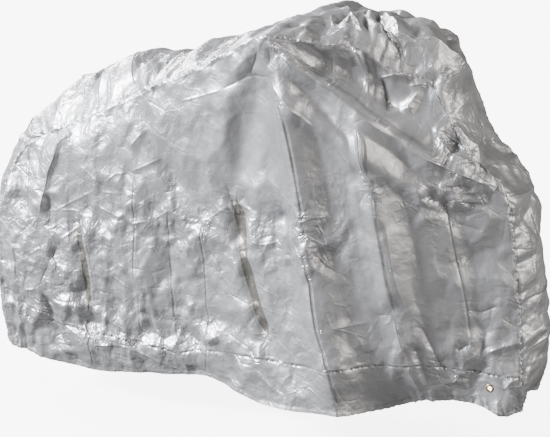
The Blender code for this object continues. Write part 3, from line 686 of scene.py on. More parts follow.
# %% The creases of the near side, front part
NEAR_FRONT = [Crease(*row) for row in (
    ("fold_b", ((0.79, 0.985), (0.81, 0.901), (0.822, 0.831), (0.832, 0.785), (0.84, 0.708),
     (0.857, 0.605), (0.868, 0.519), (0.884, 0.431)), 0.015, 0.02, 0.048, "plane"),
    ("fold_b_groove", ((0.8, 0.96), (0.815, 0.9), (0.827, 0.831), (0.838, 0.78), (0.846, 0.7),
     (0.863, 0.6), (0.874, 0.519), (0.89, 0.435)), -0.0032, 0.008, 0.008, "line"),
    ("fold_b_light", ((0.786, 0.962), (0.801, 0.9), (0.813, 0.831), (0.821, 0.795)), 0.0042,
     0.008, 0.008, "line"),
    ("fold_b_lip", ((0.868, 0.686), (0.883, 0.574), (0.899, 0.501), (0.916, 0.441),
     (0.925, 0.42)), 0.0032, 0.008, 0.019),
    ("fold_b_foot", ((0.881, 0.422), (0.899, 0.342), (0.914, 0.282), (0.93, 0.219),
     (0.949, 0.184)), 0.0048, 0.015, 0.015),
    ("pocket_edge", ((0.939, 0.404), (0.957, 0.387), (0.977, 0.337), (1.0, 0.278),
     (1.026, 0.234)), -0.0048, 0.008, 0.01),
    ("pocket_fold", ((0.932, 0.353), (0.953, 0.276), (0.962, 0.213)), -0.0065, 0.02, 0.02,
     "soft"),
    ("fold_c", ((1.023, 0.76), (1.032, 0.69), (1.037, 0.656), (1.052, 0.585), (1.065, 0.519),
     (1.077, 0.446), (1.084, 0.353)), -0.015, 0.05, 0.05),
    ("fold_c_foot", ((1.043, 0.322), (1.068, 0.338), (1.086, 0.344)), -0.0048, 0.008, 0.009),
    ("wedge", ((1.042, 0.75), (1.078, 0.746), (1.139, 0.742)), -0.0064, 0.008, 0.019),
    ("knot_arm_one", ((0.996, 0.807), (1.022, 0.773)), 0.0032, 0.008, 0.008),
    ("knot_arm_two", ((1.006, 0.732), (1.042, 0.764)), -0.0048, 0.008, 0.008),
    ("knot_arm_three", ((0.968, 0.74), (0.987, 0.761)), 0.0032, 0.008, 0.008),
    ("knot_arm_four", ((1.041, 0.778), (1.096, 0.779)), 0.004, 0.008, 0.008),
    ("level_front", ((1.074, 0.441), (1.111, 0.436), (1.156, 0.457)), -0.004, 0.008, 0.012),
    ("slant_low", ((1.118, 0.317), (1.17, 0.341), (1.209, 0.35)), 0.004, 0.009, 0.008),
    ("tag_edge", ((1.027, 0.224), (1.057, 0.266), (1.072, 0.283)), 0.0048, 0.008, 0.008),
    ("eyelet_edge", ((1.169, 0.215), (1.204, 0.251)), 0.004, 0.008, 0.008),
    ("front_ripple", ((1.05, 0.689), (1.091, 0.676), (1.115, 0.667)), -0.0024, 0.008, 0.008),
    ("hump_dark", ((0.811, 1.092), (0.832, 1.038), (0.849, 1.006), (0.868, 0.998)), -0.0064,
     0.008, 0.009),
    ("hump_small", ((0.875, 0.998), (0.891, 1.005), (0.909, 1.002)), 0.004, 0.008, 0.008),
    ("hump_press_one", ((0.69, 1.16), (0.707, 1.07)), 0.0048, 0.012, 0.008),
    ("hump_press_two", ((0.745, 1.17), (0.763, 1.15), (0.771, 1.12), (0.8, 1.007)), 0.0048, 0.01,
     0.008),
    ("pleat_fall", ((0.745, 1.185), (0.772, 1.146), (0.786, 1.031)), 0.011, 0.022, 0.012),
    ("pleat_shade", ((0.775, 1.175), (0.789, 1.078)), -0.006, 0.01, 0.016),
    ("panel_foot", ((0.79, 1.078), (0.81, 1.081), (0.856, 1.096), (0.9, 1.11)), 0.006, 0.01,
     0.022),
    ("brow_hollow", ((0.6, 1.165), (0.7, 1.115), (0.8, 1.05), (0.9, 0.985)), -0.017, 0.045,
     0.045, "soft"),
    ("wall_crease", ((0.592, 1.171), (0.631, 1.138), (0.698, 1.094)), -0.0055, 0.012, 0.02),
    ("hollow_edge", ((0.923, 1.056), (0.897, 1.016), (0.881, 0.992)), 0.007, 0.009, 0.014),
    ("hollow_arc", ((0.89, 1.062), (0.917, 1.067), (0.94, 1.066)), 0.007, 0.014, 0.012),
    ("brow_bright", ((0.979, 0.932), (1.009, 0.894), (1.05, 0.866), (1.093, 0.842)), 0.009,
     0.014, 0.012),
    ("brow_shade", ((1.003, 0.95), (1.019, 0.913), (1.045, 0.886)), -0.0045, 0.01, 0.014),
    ("hump_slant", ((0.816, 1.064), (0.87, 0.998)), -0.0045, 0.01, 0.014),
    ("hump_line", ((0.965, 0.958), (0.99, 0.919), (1.015, 0.881)), 0.0048, 0.008, 0.008),
)]
NEAR_CREASES = NEAR_REAR + NEAR_PEAK + NEAR_FRONT
print(len(NEAR_FRONT), "creases on the front part")

# %% The creases of the far side
FAR_CREASES = [Crease(*row) for row in (
    ("press_tail", ((-0.385, 0.8), (-0.375, 0.56), (-0.39, 0.3)), -0.0039, 0.05, 0.05, "press"),
    ("press_one", ((-0.24, 0.8), (-0.245, 0.6), (-0.24, 0.3)), 0.0052, 0.055, 0.055, "press"),
    ("press_two", ((-0.11, 0.8), (-0.115, 0.56), (-0.105, 0.24)), -0.0046, 0.055, 0.055, "press"),
    ("press_three", ((0.015, 0.86), (0.01, 0.6), (0.02, 0.2)), 0.0052, 0.055, 0.055, "press"),
    ("press_four", ((0.14, 0.8), (0.145, 0.5), (0.14, 0.18)), -0.0046, 0.055, 0.055, "press"),
    ("press_five", ((0.262, 0.86), (0.265, 0.6), (0.268, 0.2)), 0.0052, 0.055, 0.055, "press"),
    ("rest_slant", ((-0.02, 0.93), (-0.12, 0.76), (-0.19, 0.56)), 0.0105, 0.062, 0.025),
    ("rest_valley", ((0.06, 0.98), (0.13, 0.8), (0.19, 0.64)), -0.0117, 0.05, 0.05, "soft"),
    ("mid_furrow", ((0.33, 0.64), (0.35, 0.5), (0.39, 0.33)), -0.009, 0.03, 0.036),
    ("mid_lip", ((0.362, 0.62), (0.382, 0.48), (0.42, 0.35)), 0.0032, 0.008, 0.019),
    ("cone_crest", ((0.455, 1.08), (0.41, 0.93), (0.36, 0.76)), 0.0135, 0.075, 0.06),
    ("fold_a", ((0.575, 1.1), (0.6, 0.86), (0.62, 0.6), (0.65, 0.36), (0.69, 0.2)), 0.0135,
     0.062, 0.018),
    ("fold_a_shade", ((0.625, 0.86), (0.65, 0.6), (0.685, 0.36)), -0.0104, 0.026, 0.03, "soft"),
    ("ridge_main", ((0.53, 1.215), (0.64, 1.125), (0.8, 1.0), (0.93, 0.905), (1.06, 0.82),
     (1.143, 0.785)), 0.009, 0.062, 0.014),
    ("ridge_valley", ((0.56, 1.2), (0.7, 1.085), (0.86, 0.97), (1.0, 0.88)), -0.0048, 0.008,
     0.022),
    ("ridge_second", ((0.56, 1.08), (0.68, 0.96), (0.79, 0.82)), 0.0048, 0.025, 0.022),
    ("fold_b", ((0.805, 0.94), (0.83, 0.76), (0.85, 0.58), (0.88, 0.4), (0.9, 0.24)), -0.0064,
     0.019, 0.025),
    ("fold_b_lip", ((0.86, 0.78), (0.89, 0.56), (0.92, 0.36)), 0.0048, 0.01, 0.019),
    ("fold_c", ((1.01, 0.78), (1.03, 0.6), (1.05, 0.42), (1.055, 0.28)), 0.0056, 0.022, 0.01),
    ("cross_rear", ((-0.42, 0.56), (-0.28, 0.61), (-0.13, 0.59), (0.02, 0.64)), 0.004, 0.04,
     0.015),
    ("cross_mid", ((0.08, 0.62), (0.22, 0.645), (0.33, 0.61)), 0.004, 0.04, 0.015),
    ("cross_front", ((0.66, 0.6), (0.76, 0.57), (0.87, 0.6)), -0.004, 0.009, 0.027),
    ("shelf_valley", ((-0.4, 0.29), (-0.15, 0.3), (0.1, 0.28), (0.35, 0.32), (0.6, 0.33)),
     -0.009, 0.062, 0.03),
    ("front_level", ((0.96, 0.42), (1.06, 0.44), (1.15, 0.42)), -0.004, 0.009, 0.012),
    ("hump_press", ((0.745, 1.15), (0.775, 1.08), (0.8, 1.01)), 0.0048, 0.01, 0.008),
    ("hump_dark", ((0.83, 1.09), (0.86, 1.02), (0.9, 0.99)), -0.0056, 0.009, 0.011),
)]
print(len(FAR_CREASES), "creases on the far side")

# %% The creases of the top strip
# Along the strip a place is (distance from the rear hem on its middle line, y).
STRIP_CREASES = [Crease(*row) for row in (
    ("pleat_valley", ((1.879, 0.179), (2.004, -0.042), (2.069, -0.153), (2.089, -0.172)),
     -0.0156, 0.02, 0.02, "soft"),
    ("pleat_ridge", ((1.871, 0.091), (1.993, -0.088), (2.05, -0.162)), 0.0096, 0.011, 0.012),
    ("panel_crease", ((1.985, 0.064), (2.114, -0.131), (2.179, -0.136)), -0.01, 0.012, 0.009),
    ("hump_arc", ((1.992, 0.072), (2.137, -0.11), (2.18, -0.105), (2.197, -0.093),
     (2.218, -0.069), (2.281, -0.05), (2.337, -0.007), (2.361, 0.065)), 0.012, 0.014, 0.019),
    ("hump_low_arc", ((2.25, -0.105), (2.284, -0.1), (2.327, -0.095), (2.349, -0.022)), 0.0085,
     0.009, 0.009),
    ("press_one", ((1.89, -0.04), (1.948, -0.141)), 0.007, 0.012, 0.008),
    ("press_two", ((1.95, -0.04), (1.987, -0.134)), 0.007, 0.012, 0.008),
    ("panel_edge", ((1.918, 0.201), (2.094, -0.104), (2.144, -0.124), (2.183, -0.13)), -0.009,
     0.014, 0.016),
    ("brow_step", ((2.426, -0.11), (2.497, -0.101), (2.539, -0.083), (2.593, -0.103)), 0.0045,
     0.014, 0.012),
    ("brow_bright", ((2.407, 0.04), (2.425, -0.043), (2.426, -0.095)), 0.0095, 0.009, 0.009),
    ("panel_line_one", ((2.53, -0.08), (2.521, 0.1)), 0.004, 0.008, 0.009),
    ("panel_line_two", ((2.552, -0.08), (2.553, 0.083)), -0.004, 0.008, 0.009),
    ("nose_roll", ((2.6, 0.01), (2.717, -0.015)), 0.0078, 0.035, 0.035, "soft"),
    ("corner_front", ((2.742, -0.096), (2.743, 0.02), (2.745, 0.09)), 0.0048, 0.012, 0.011),
    ("front_press", ((2.78, -0.005), (2.96, 0.008), (3.2, -0.004)), 0.0065, 0.05, 0.05, "press"),
    ("front_level_one", ((3.02, -0.09), (3.03, 0.085)), -0.0032, 0.009, 0.012),
    ("front_level_two", ((3.16, -0.085), (3.15, 0.08)), 0.004, 0.011, 0.011),
    ("rear_press", ((0.06, 0.004), (0.33, -0.006), (0.64, 0.004)), 0.0052, 0.05, 0.05, "press"),
    ("rear_level_one", ((0.3, -0.09), (0.315, 0.09)), 0.004, 0.012, 0.011),
    ("rear_level_two", ((0.54, -0.09), (0.52, 0.09)), -0.0032, 0.012, 0.012),
    ("corner_rear", ((0.672, -0.085), (0.69, 0.085)), 0.0056, 0.012, 0.012),
    ("tail_slant", ((0.72, -0.08), (0.83, 0.06)), 0.0048, 0.014, 0.014),
    ("tail_press", ((0.7, 0.02), (0.9, -0.01), (1.12, 0.01)), 0.0065, 0.05, 0.05, "press"),
    ("rest_slope_one", ((1.02, -0.11), (1.15, 0.1)), -0.0078, 0.03, 0.03, "soft"),
    ("rest_slope_two", ((1.09, -0.13), (1.12, -0.02)), 0.0048, 0.012, 0.012),
    ("rest_edge", ((1.205, -0.15), (1.215, 0.0), (1.2, 0.15)), 0.004, 0.019, 0.015),
    ("middle_one", ((1.33, -0.18), (1.38, 0.02), (1.35, 0.18)), -0.004, 0.015, 0.015),
    ("middle_two", ((1.45, -0.2), (1.48, 0.0), (1.52, 0.19)), 0.0048, 0.017, 0.017),
    ("middle_press", ((1.24, 0.005), (1.48, -0.01), (1.76, 0.01)), 0.0065, 0.055, 0.055, "press"),
    ("peak_slope_one", ((1.6, -0.23), (1.64, -0.05), (1.62, 0.15)), -0.0048, 0.019, 0.015),
    ("peak_slope_two", ((1.7, -0.24), (1.69, 0.0), (1.72, 0.24)), 0.004, 0.015, 0.015),
    ("hump_press", ((1.86, 0.02), (2.02, 0.06), (2.2, 0.04)), 0.0065, 0.05, 0.05, "press"),
    ("hump_far_pleat", ((1.9, 0.1), (2.01, 0.15)), -0.013, 0.02, 0.02, "soft"),
    ("hump_front", ((2.24, 0.09), (2.3, -0.02)), 0.0048, 0.012, 0.012),
    ("drop_press", ((2.26, 0.02), (2.42, 0.03), (2.56, 0.01)), 0.0052, 0.05, 0.05, "press"),
)]
print(len(STRIP_CREASES), "creases on the strip")

# %% [markdown]
# ## Crumpled cloth between the long creases
#
# Between its long creases coated taffeta is crumpled like foil: flat facets that meet in
# short straight ridges and valleys. Summed noise looks like dough instead. A trick gives
# true facets. Take two scatters of points, measure the squared distance to the nearest
# point of each, and subtract. The curved parts cancel and flat facets are left. A table
# of patches says where the cloth is crumpled and where it is drawn smooth.

# %% Facets
Facets = namedtuple("Facets", "cell slope turn stretch softness")
LARGE = Facets(0.105, 0.27, 0.25, 0.8, 0.004)
TALL = Facets(0.055, 0.22, -0.2, 0.6, 0.006)
WAVY = Facets(0.030, 0.14, 0.15, 2.0, 0.015)
SMALL = Facets(0.020, 0.10, -0.5, 1.4, 0.03)
FACET_SHARE = 0.7
NEIGHBOURS = (-2, -1, 0, 1, 2)


def nearest_square(u, v, seed, softness):
    """Softened squared distance to a jittered scatter with one point a cell."""
    low_u, low_v = int(np.floor(u.min())) - 2, int(np.floor(v.min())) - 2
    size = (int(np.ceil(u.max())) - low_u + 4, int(np.ceil(v.max())) - low_v + 4)
    jitter = np.random.default_rng(seed).random(size + (2,))
    cell_u, cell_v = np.floor(u).astype(int), np.floor(v).astype(int)
    total = np.zeros(u.shape)
    for step_u in NEIGHBOURS:
        for step_v in NEIGHBOURS:
            at_u, at_v = cell_u + step_u, cell_v + step_v
            offset = jitter[at_u - low_u, at_v - low_v]
            square = (u - at_u - offset[..., 0]) ** 2 + (v - at_v - offset[..., 1]) ** 2
            total += np.exp(-square / softness)
    return -softness * np.log(total)


def facets(x, z, kind, seed):
    """A faceted height field: cell is the size of a facet, slope about its steepness."""
    cos, sin = math.cos(kind.turn), math.sin(kind.turn)
    u = (x * cos + z * sin) / (kind.cell * kind.stretch)
    v = (z * cos - x * sin) / kind.cell
    first = nearest_square(u, v, seed, kind.softness)
    second = nearest_square(u, v, seed + 1, kind.softness)
    return (first - second) * kind.slope * kind.cell * FACET_SHARE


print("facets of", [kind.cell for kind in (LARGE, TALL, WAVY, SMALL)], "metres")


# %% Soft patches
def cloud(x, z, size, seed):
    """Soft noise between 0 and 1."""
    u, v = x / size, z / size
    low_u, low_v = int(np.floor(u.min())), int(np.floor(v.min()))
    shape = (int(np.ceil(u.max())) - low_u + 2, int(np.ceil(v.max())) - low_v + 2)
    lattice = np.random.default_rng(seed).random(shape)
    cell_u, cell_v = np.floor(u).astype(int) - low_u, np.floor(v).astype(int) - low_v
    part_u, part_v = ease(u - np.floor(u)), ease(v - np.floor(v))
    return (lattice[cell_u, cell_v] * (1 - part_u) * (1 - part_v)
            + lattice[cell_u + 1, cell_v] * part_u * (1 - part_v)
            + lattice[cell_u, cell_v + 1] * (1 - part_u) * part_v
            + lattice[cell_u + 1, cell_v + 1] * part_u * part_v)


# %% Knots where creases meet
Knot = namedtuple("Knot", "name x z arms reach height")
ARM_START = 0.002
ARM_SHARE = 0.45
ARM_BACK = 0.012
ARM_FORE = 0.016
ARM_TURN = (-0.3, 0.3)
ARM_REACH = (0.6, 1.3)
ARM_BEND = 0.25
ARM_HEIGHT = (0.6, 1.2)


def knot_creases(knots, seed):
    """Creases that run out of a knot like the arms of a star."""
    rng = np.random.default_rng(seed)
    rows = []
    for knot in knots:
        first = rng.uniform(0, math.tau)
        for arm in range(knot.arms):
            angle = first + math.tau * (arm + rng.uniform(*ARM_TURN)) / knot.arms
            reach = knot.reach * rng.uniform(*ARM_REACH)
            bend = angle + rng.normal(0.0, ARM_BEND)
            points = tuple(
                (knot.x + away * math.cos(way), knot.z + away * math.sin(way))
                for away, way in ((ARM_START, angle), (0.5 * reach, angle), (reach, bend)))
            tall = ARM_SHARE * knot.height * rng.uniform(*ARM_HEIGHT)
            tall = tall if arm % 2 else -tall
            rows.append(Crease(knot.name, points, tall, ARM_BACK, ARM_FORE))
    return rows


# %% Where the near side is crumpled
Patch = namedtuple("Patch", "name x z reach_x reach_z amount")
NEAR_PATCHES = [Patch(*row) for row in (
    ("rear_wall", -0.3, 0.45, 0.26, 0.35, 0.45),
    ("middle_cross", 0.18, 0.62, 0.33, 0.09, 0.65),
    ("above_hem", 0.0, 0.29, 0.45, 0.11, 0.7),
    ("peak_star", 0.66, 0.65, 0.1, 0.08, 0.7),
    ("front_wall", 0.88, 0.56, 0.22, 0.24, -0.2),
    ("front_knot", 1.02, 0.76, 0.1, 0.06, 0.9),
    ("front_low", 1.08, 0.26, 0.15, 0.08, 0.3),
    ("hump_hollow", 1.04, 0.895, 0.06, 0.08, 1.0),
    ("hump_panel", 0.86, 1.03, 0.09, 0.07, -0.3),
    ("peak_tent", 0.44, 0.9, 0.16, 0.16, -0.3),
    ("ridge_wall", 0.8, 0.9, 0.22, 0.1, -0.25),
)]
NEAR_KNOTS = [Knot(*row) for row in (
    ("slot_foot", -0.179, 0.304, 7, 0.05, 0.004),
    ("slot_head", -0.188, 0.585, 5, 0.04, 0.003),
    ("rest_knot", 0.264, 0.637, 7, 0.055, 0.0045),
    ("slot_two_head", 0.388, 0.705, 6, 0.05, 0.004),
    ("slot_two_foot", 0.484, 0.33, 6, 0.045, 0.0035),
    ("peak_star", 0.634, 0.69, 8, 0.06, 0.0034),
    ("peak_star_low", 0.648, 0.61, 6, 0.055, 0.003),
    ("fold_b_knot", 0.832, 0.79, 7, 0.05, 0.0045),
    ("fold_b_low", 0.88, 0.43, 6, 0.05, 0.0035),
    ("front_knot", 1.02, 0.772, 9, 0.06, 0.006),
    ("tag_knot", 1.028, 0.232, 6, 0.045, 0.004),
    ("press_knot", 0.14, 0.31, 5, 0.045, 0.003),
    ("tail_knot", -0.342, 0.588, 6, 0.05, 0.0035),
    ("hump_knot_one", 1.012, 0.935, 7, 0.045, 0.006),
    ("hump_knot_two", 1.05, 0.878, 7, 0.045, 0.006),
)]
print(len(NEAR_KNOTS), "near knots with", sum(knot.arms for knot in NEAR_KNOTS), "arms")

# %% Where the far side is crumpled
FAR_PATCHES = [Patch(*row) for row in (
    ("rear_wall", -0.26, 0.48, 0.26, 0.3, 0.4),
    ("middle_cross", 0.12, 0.62, 0.33, 0.09, 0.6),
    ("above_hem", 0.1, 0.29, 0.5, 0.11, 0.6),
    ("peak_star", 0.64, 0.56, 0.14, 0.12, 0.8),
    ("front_wall", 0.9, 0.5, 0.2, 0.24, 0.45),
    ("hump_hollow", 0.96, 0.98, 0.13, 0.09, 0.7),
    ("peak_tent", 0.46, 0.9, 0.14, 0.14, -0.25),
)]
FAR_KNOTS = [Knot(*row) for row in (
    ("furrow_head", 0.328, 0.65, 7, 0.055, 0.0045),
    ("furrow_foot", 0.395, 0.325, 6, 0.045, 0.0035),
    ("peak_star", 0.622, 0.6, 9, 0.075, 0.0055),
    ("rear_knot", -0.245, 0.605, 7, 0.055, 0.004),
    ("front_knot", 1.02, 0.72, 8, 0.06, 0.005),
    ("fold_knot", 0.85, 0.58, 7, 0.055, 0.0045),
    ("low_knot", 0.015, 0.285, 6, 0.05, 0.0035),
    ("hump_knot", 0.94, 0.98, 7, 0.045, 0.0045),
)]
print(len(FAR_KNOTS), "far knots with", sum(knot.arms for knot in FAR_KNOTS), "arms")

# %% How crumpled, and the crumple itself
CALM = 0.50
LEAST_CRUMPLED = 0.15
MOST_CRUMPLED = 1.8
PATCHY_LEAST = 0.45
PATCHY_MORE = 1.1
PATCHY_SIZE = 0.09
TALL_PATCH = 0.12
SMALL_PATCH = 0.05


def crumple_amount(patches, x, z):
    """How crumpled the cloth is at each point."""
    amount = np.full(x.shape, CALM)
    for patch in patches:
        away = ((x - patch.x) / patch.reach_x) ** 2 + ((z - patch.z) / patch.reach_z) ** 2
        amount += patch.amount * np.exp(-away)
    return np.clip(amount, LEAST_CRUMPLED, MOST_CRUMPLED)


def crumple(x, z, amount, seed):
    """Facets of four sizes, taller where the cloth is more crumpled."""
    patchy = PATCHY_LEAST + PATCHY_MORE * cloud(x, z, PATCHY_SIZE, seed + 50)
    large = facets(x, z, LARGE, seed)
    tall = facets(x, z, TALL, seed + 10)
    wavy = facets(x, z, WAVY, seed + 20)
    small = facets(x, z, SMALL, seed + 30)
    return amount * patchy * (large + tall * cloud(x, z, TALL_PATCH, seed + 55)
                              + wavy * cloud(x, z, SMALL_PATCH, seed + 60)
                              + small * cloud(x, z, SMALL_PATCH, seed + 70) ** 3)

# %% [markdown]
# ## Puckers at the seams, gathers at the hem
#
# A sewn seam in thin cloth is never flat: the thread draws it up, so short puffs stand
# on both sides and die away within a few centimetres. The hem is drawn in as well, most
# at the front and at the rear. Both are rows of small crests at uneven distances, placed
# by the length along the seam. A wiggle of the seam itself moves both cloths together.

# %% Rows of puckers
Pucker = namedtuple("Pucker", "pitch height reach held")
TOP_LONG = Pucker(0.020, 0.0022, 0.055, True)
TOP_SHORT = Pucker(0.018, 0.0026, 0.020, True)
LOW_ABOVE = Pucker(0.022, 0.0020, 0.045, True)
LOW_BELOW = Pucker(0.020, 0.0020, 0.035, True)
LOW_SHORT = Pucker(0.019, 0.0022, 0.018, True)
END_LONG = Pucker(0.024, 0.0026, 0.040, True)
HEM_GATHER = Pucker(0.015, 1.0, 0.060, False)
STRIP_LONG = Pucker(0.020, 0.0026, 0.055, True)
STRIP_GATHER = Pucker(0.015, 0.0045, 0.060, False)
HELD_WIDTH = 0.007
PUFF_START = 0.3
PUFF_WIDTH = (0.30, 0.62)
PUFF_HEIGHT = (0.25, 1.25)
PUFF_REACH = (0.45, 1.3)
PUFF_SLANT = 0.25
PUFF_STEP = (0.55, 1.5)
PUFF_POWER = 1.3


def lengths(net, axis):
    """Distance along the rows or columns of a net, from its first point."""
    steps = np.linalg.norm(np.diff(net, axis=axis), axis=-1)
    start = np.zeros_like(np.take(steps, [0], axis=axis))
    return np.concatenate([start, np.cumsum(steps, axis=axis)], axis=axis)


def pucker_row(along, away, row, seed):
    """Puffs beside a line: along it, away from it, and held down at it or free."""
    rng = np.random.default_rng(seed)
    total = np.zeros(along.shape)
    place = along.min() + PUFF_START * row.pitch
    end = along.max()
    while place < end:
        width = row.pitch * rng.uniform(*PUFF_WIDTH)
        tall = row.height * rng.uniform(*PUFF_HEIGHT) * rng.choice((1, 1, -1))
        far = row.reach * rng.uniform(*PUFF_REACH)
        slant = rng.normal(0.0, PUFF_SLANT)
        near = (np.abs(along - place) < width + 0.3 * row.reach) & (away < far)
        offset = np.abs(along[near] - place - slant * away[near])
        profile = np.clip(1 - offset / (width * (1 + away[near] / far)), 0, 1) ** PUFF_POWER
        fall = ease(1 - away[near] / far)
        if row.held:
            fall = fall * ease(away[near] / HELD_WIDTH)
        total[near] += tall * profile * fall
        place += row.pitch * rng.uniform(*PUFF_STEP)
    return total


print("the hem is gathered about every", HEM_GATHER.pitch, "metres")

# %% A wave and a groove along a seam
WIGGLE_END = 0.05
WIGGLE_SHIFT = 0.35


def wiggle(along, pitch, height, seed):
    """A one-dimensional uneven wave, zero at both ends."""
    rng = np.random.default_rng(seed)
    length = along.max()
    knots = np.arange(0, length + 2 * pitch, pitch)
    places = knots + rng.uniform(-WIGGLE_SHIFT, WIGGLE_SHIFT, len(knots)) * pitch
    values = rng.uniform(-1, 1, len(knots)) * height
    ends = ease(along / WIGGLE_END) * ease((length - along) / WIGGLE_END)
    return np.interp(along, places, values) * ends


def groove(away, width):
    """A narrow furrow along a seam, 1 at the seam."""
    return ease(1 - np.abs(away) / width)


# %% [markdown]
# ## Putting the relief together
#
# The fine nets are built first, then their shared normals, then each net is pushed along
# its normals by the sum of its creases, facets and puckers. All of it fades out at the
# edges that are sewn to another net, so the cloth stays closed there.

# %% The wiggle of the sewn edges
SEAM_PITCH = 0.017
SEAM_WIGGLE = 0.0022
END_WIGGLE = 0.8 * SEAM_WIGGLE
SEAM_SPREAD = 0.035


def wiggle_seams(net, side, seed):
    """Move the sewn edges of a side to and fro a little, and the cloth with them."""
    along = lengths(net[-1:], 1)[0]
    away = lengths(net[::-1], 0)[::-1]
    fade = ease(1 - away / SEAM_SPREAD)
    moved = net.copy()
    moved[..., 2] += wiggle(along, SEAM_PITCH, SEAM_WIGGLE, seed)[None, :] * fade
    moved[..., 1] += side * wiggle(along, SEAM_PITCH, SEAM_WIGGLE, seed + 1)[None, :] * fade
    for column, spread in ((0, lengths(net, 1)), (-1, lengths(net[:, ::-1], 1)[:, ::-1])):
        up = lengths(net[:, column][:, None], 0)[:, 0]
        shift = wiggle(up, SEAM_PITCH, END_WIGGLE, seed + 2 + column)
        moved[..., 0] += shift[:, None] * ease(1 - spread / SEAM_SPREAD)
    return moved


near = wiggle_seams(to_place(side_net(NEAR_FOLDS, NEAR_UNEVEN), -1), -1, 11)
far = wiggle_seams(to_place(side_net(FAR_FOLDS, FAR_UNEVEN), 1), 1, 31)
strip = strip_net(near, far)
print("nets", near.shape, far.shape, strip.shape)


# %% Normals that the nets share at their seams
def net_normals(net):
    """Area-weighted normals of a net, before they are made unit length."""
    faces = np.cross(net[1:, 1:] - net[:-1, :-1], net[1:, :-1] - net[:-1, 1:])
    normals = np.zeros_like(net)
    for row in (slice(None, -1), slice(1, None)):
        for column in (slice(None, -1), slice(1, None)):
            normals[row, column] += faces
    return normals


def unit(vectors):
    """The same directions, one metre long."""
    return vectors / np.linalg.norm(vectors, axis=-1, keepdims=True)


def share_border(side_normals, strip_normals, edge):
    """Add the normals of a side and the strip where they are sewn together."""
    last = len(ROWS) - 1
    both = border(side_normals) + strip_normals[:, edge]
    strip_normals[:, edge] = both
    side_normals[:-1, 0] = both[:last]
    side_normals[-1] = both[last:last + len(STATIONS)]
    side_normals[:-1, -1] = both[last + len(STATIONS):][::-1]


near_normals = net_normals(near)
far_normals = -net_normals(far)
strip_normals = -net_normals(strip)
share_border(near_normals, strip_normals, 0)
share_border(far_normals, strip_normals, -1)
near_normals, far_normals = unit(near_normals), unit(far_normals)
strip_normals = unit(strip_normals)
print("mean outward y of the near side", near_normals[..., 1].mean())
print("mean outward z of the strip", strip_normals[..., 2].mean())

# %% The relief of a side
SEAM_HOLD = 0.010
HEM_LINE = 0.015
HEM_FURROW = 0.0010
HEM_WIDTH = 0.006
FLAT_RING = 0.016
FLAT_FADE = 0.035
GATHER_X = (-0.56, -0.42, -0.20, 0.30, 0.60, 0.78, 0.95, 1.12, 1.25)
GATHER_HEIGHT = (0.0060, 0.0050, 0.0018, 0.0018, 0.0020, 0.0050, 0.0060, 0.0050, 0.0050)


def side_relief(net, creases, patches, knots, seed):
    """How far the cloth of a side stands out of its smooth net."""
    x, z = net[..., 0], net[..., 2] - FLOOR
    up = lengths(net, 0)
    down = up[-1:] - up
    rear = lengths(net, 1)
    front = rear[:, -1:] - rear
    off_seam = up - up[BAND_ROWS:BAND_ROWS + 1]
    above = np.where(off_seam > 0, off_seam, FAR_OFF)
    below = np.where(off_seam < 0, -off_seam, FAR_OFF)
    top_along = np.broadcast_to(rear[-1:], x.shape)
    low_along = np.broadcast_to(rear[BAND_ROWS:BAND_ROWS + 1], x.shape)
    hem_along = np.broadcast_to(rear[:1], x.shape)
    amount = crumple_amount(patches, x, z)
    total = crease_height(creases, x, z)
    total += crease_height(knot_creases(knots, seed), x, z)
    total += crumple(x, z, amount, seed + 2)
    for along, away, row, step in (
            (top_along, down, TOP_LONG, 3), (low_along, above, LOW_ABOVE, 4),
            (low_along, below, LOW_BELOW, 5), (low_along, np.abs(off_seam), LOW_SHORT, 9),
            (top_along, down, TOP_SHORT, 10), (up, rear, END_LONG, 6),
            (up, front, END_LONG, 7)):
        total += pucker_row(along, away, row, seed + step)
    gather = pucker_row(hem_along, up, HEM_GATHER, seed + 8)
    total += gather * np.interp(x, GATHER_X, GATHER_HEIGHT)
    total -= HEM_FURROW * groove(up - HEM_LINE, HEM_WIDTH)
    sewn = ease(down / SEAM_HOLD) * ease(rear / SEAM_HOLD) * ease(front / SEAM_HOLD)
    flat = ease((np.hypot(x - EYELET_X, z - EYELET_HEIGHT) - FLAT_RING) / FLAT_FADE)
    return total * sewn * flat


near_relief = side_relief(near, NEAR_CREASES, NEAR_PATCHES, NEAR_KNOTS, 100)
far_relief = side_relief(far, FAR_CREASES, FAR_PATCHES, FAR_KNOTS, 300)
print("near relief", near_relief.min(), near_relief.max())

# %% The marks along a seam
SEAM_FURROW = -0.0030
MARK_PITCH = 0.021
MARK_FAINT = 0.12
MARK_HALF = (0.20, 0.42)
MARK_HEIGHT = (0.4, 1.0)
MARK_STEP = (0.6, 1.5)
MARK_STEEP = 1.5
# The thread pulls hardest just in front of the peak.
TIGHT_X = 0.620
TIGHT_REACH = 0.150
TIGHT_MORE = 1.0


def marks(along, seed):
    """0 to 1 along a seam: short marks at uneven distances, where the thread pulls."""
    rng = np.random.default_rng(seed)
    total = np.zeros(along.shape)
    place = 0.0
    while place < along.max():
        half = MARK_PITCH * rng.uniform(*MARK_HALF)
        tall = rng.uniform(*MARK_HEIGHT)
        mark = ease(MARK_STEEP * (1 - np.abs(along - place) / half))
        total = np.maximum(total, tall * mark)
        place += MARK_PITCH * rng.uniform(*MARK_STEP)
    return total


def mark_seam(offset, size, away, along, seed, more=1.0):
    """Put the marks of a seam in place of any crease that is farther off."""
    here = (np.abs(away) < np.abs(offset)) & (np.abs(away) < LINE_REACH)
    share = MARK_FAINT + (1 - MARK_FAINT) * marks(along, seed)
    tall = SEAM_FURROW * share * (np.abs(away) < LINE_SEEN) * more
    return np.where(here, away, offset), np.where(here, tall, size)


print("marks about every", MARK_PITCH, "metres")


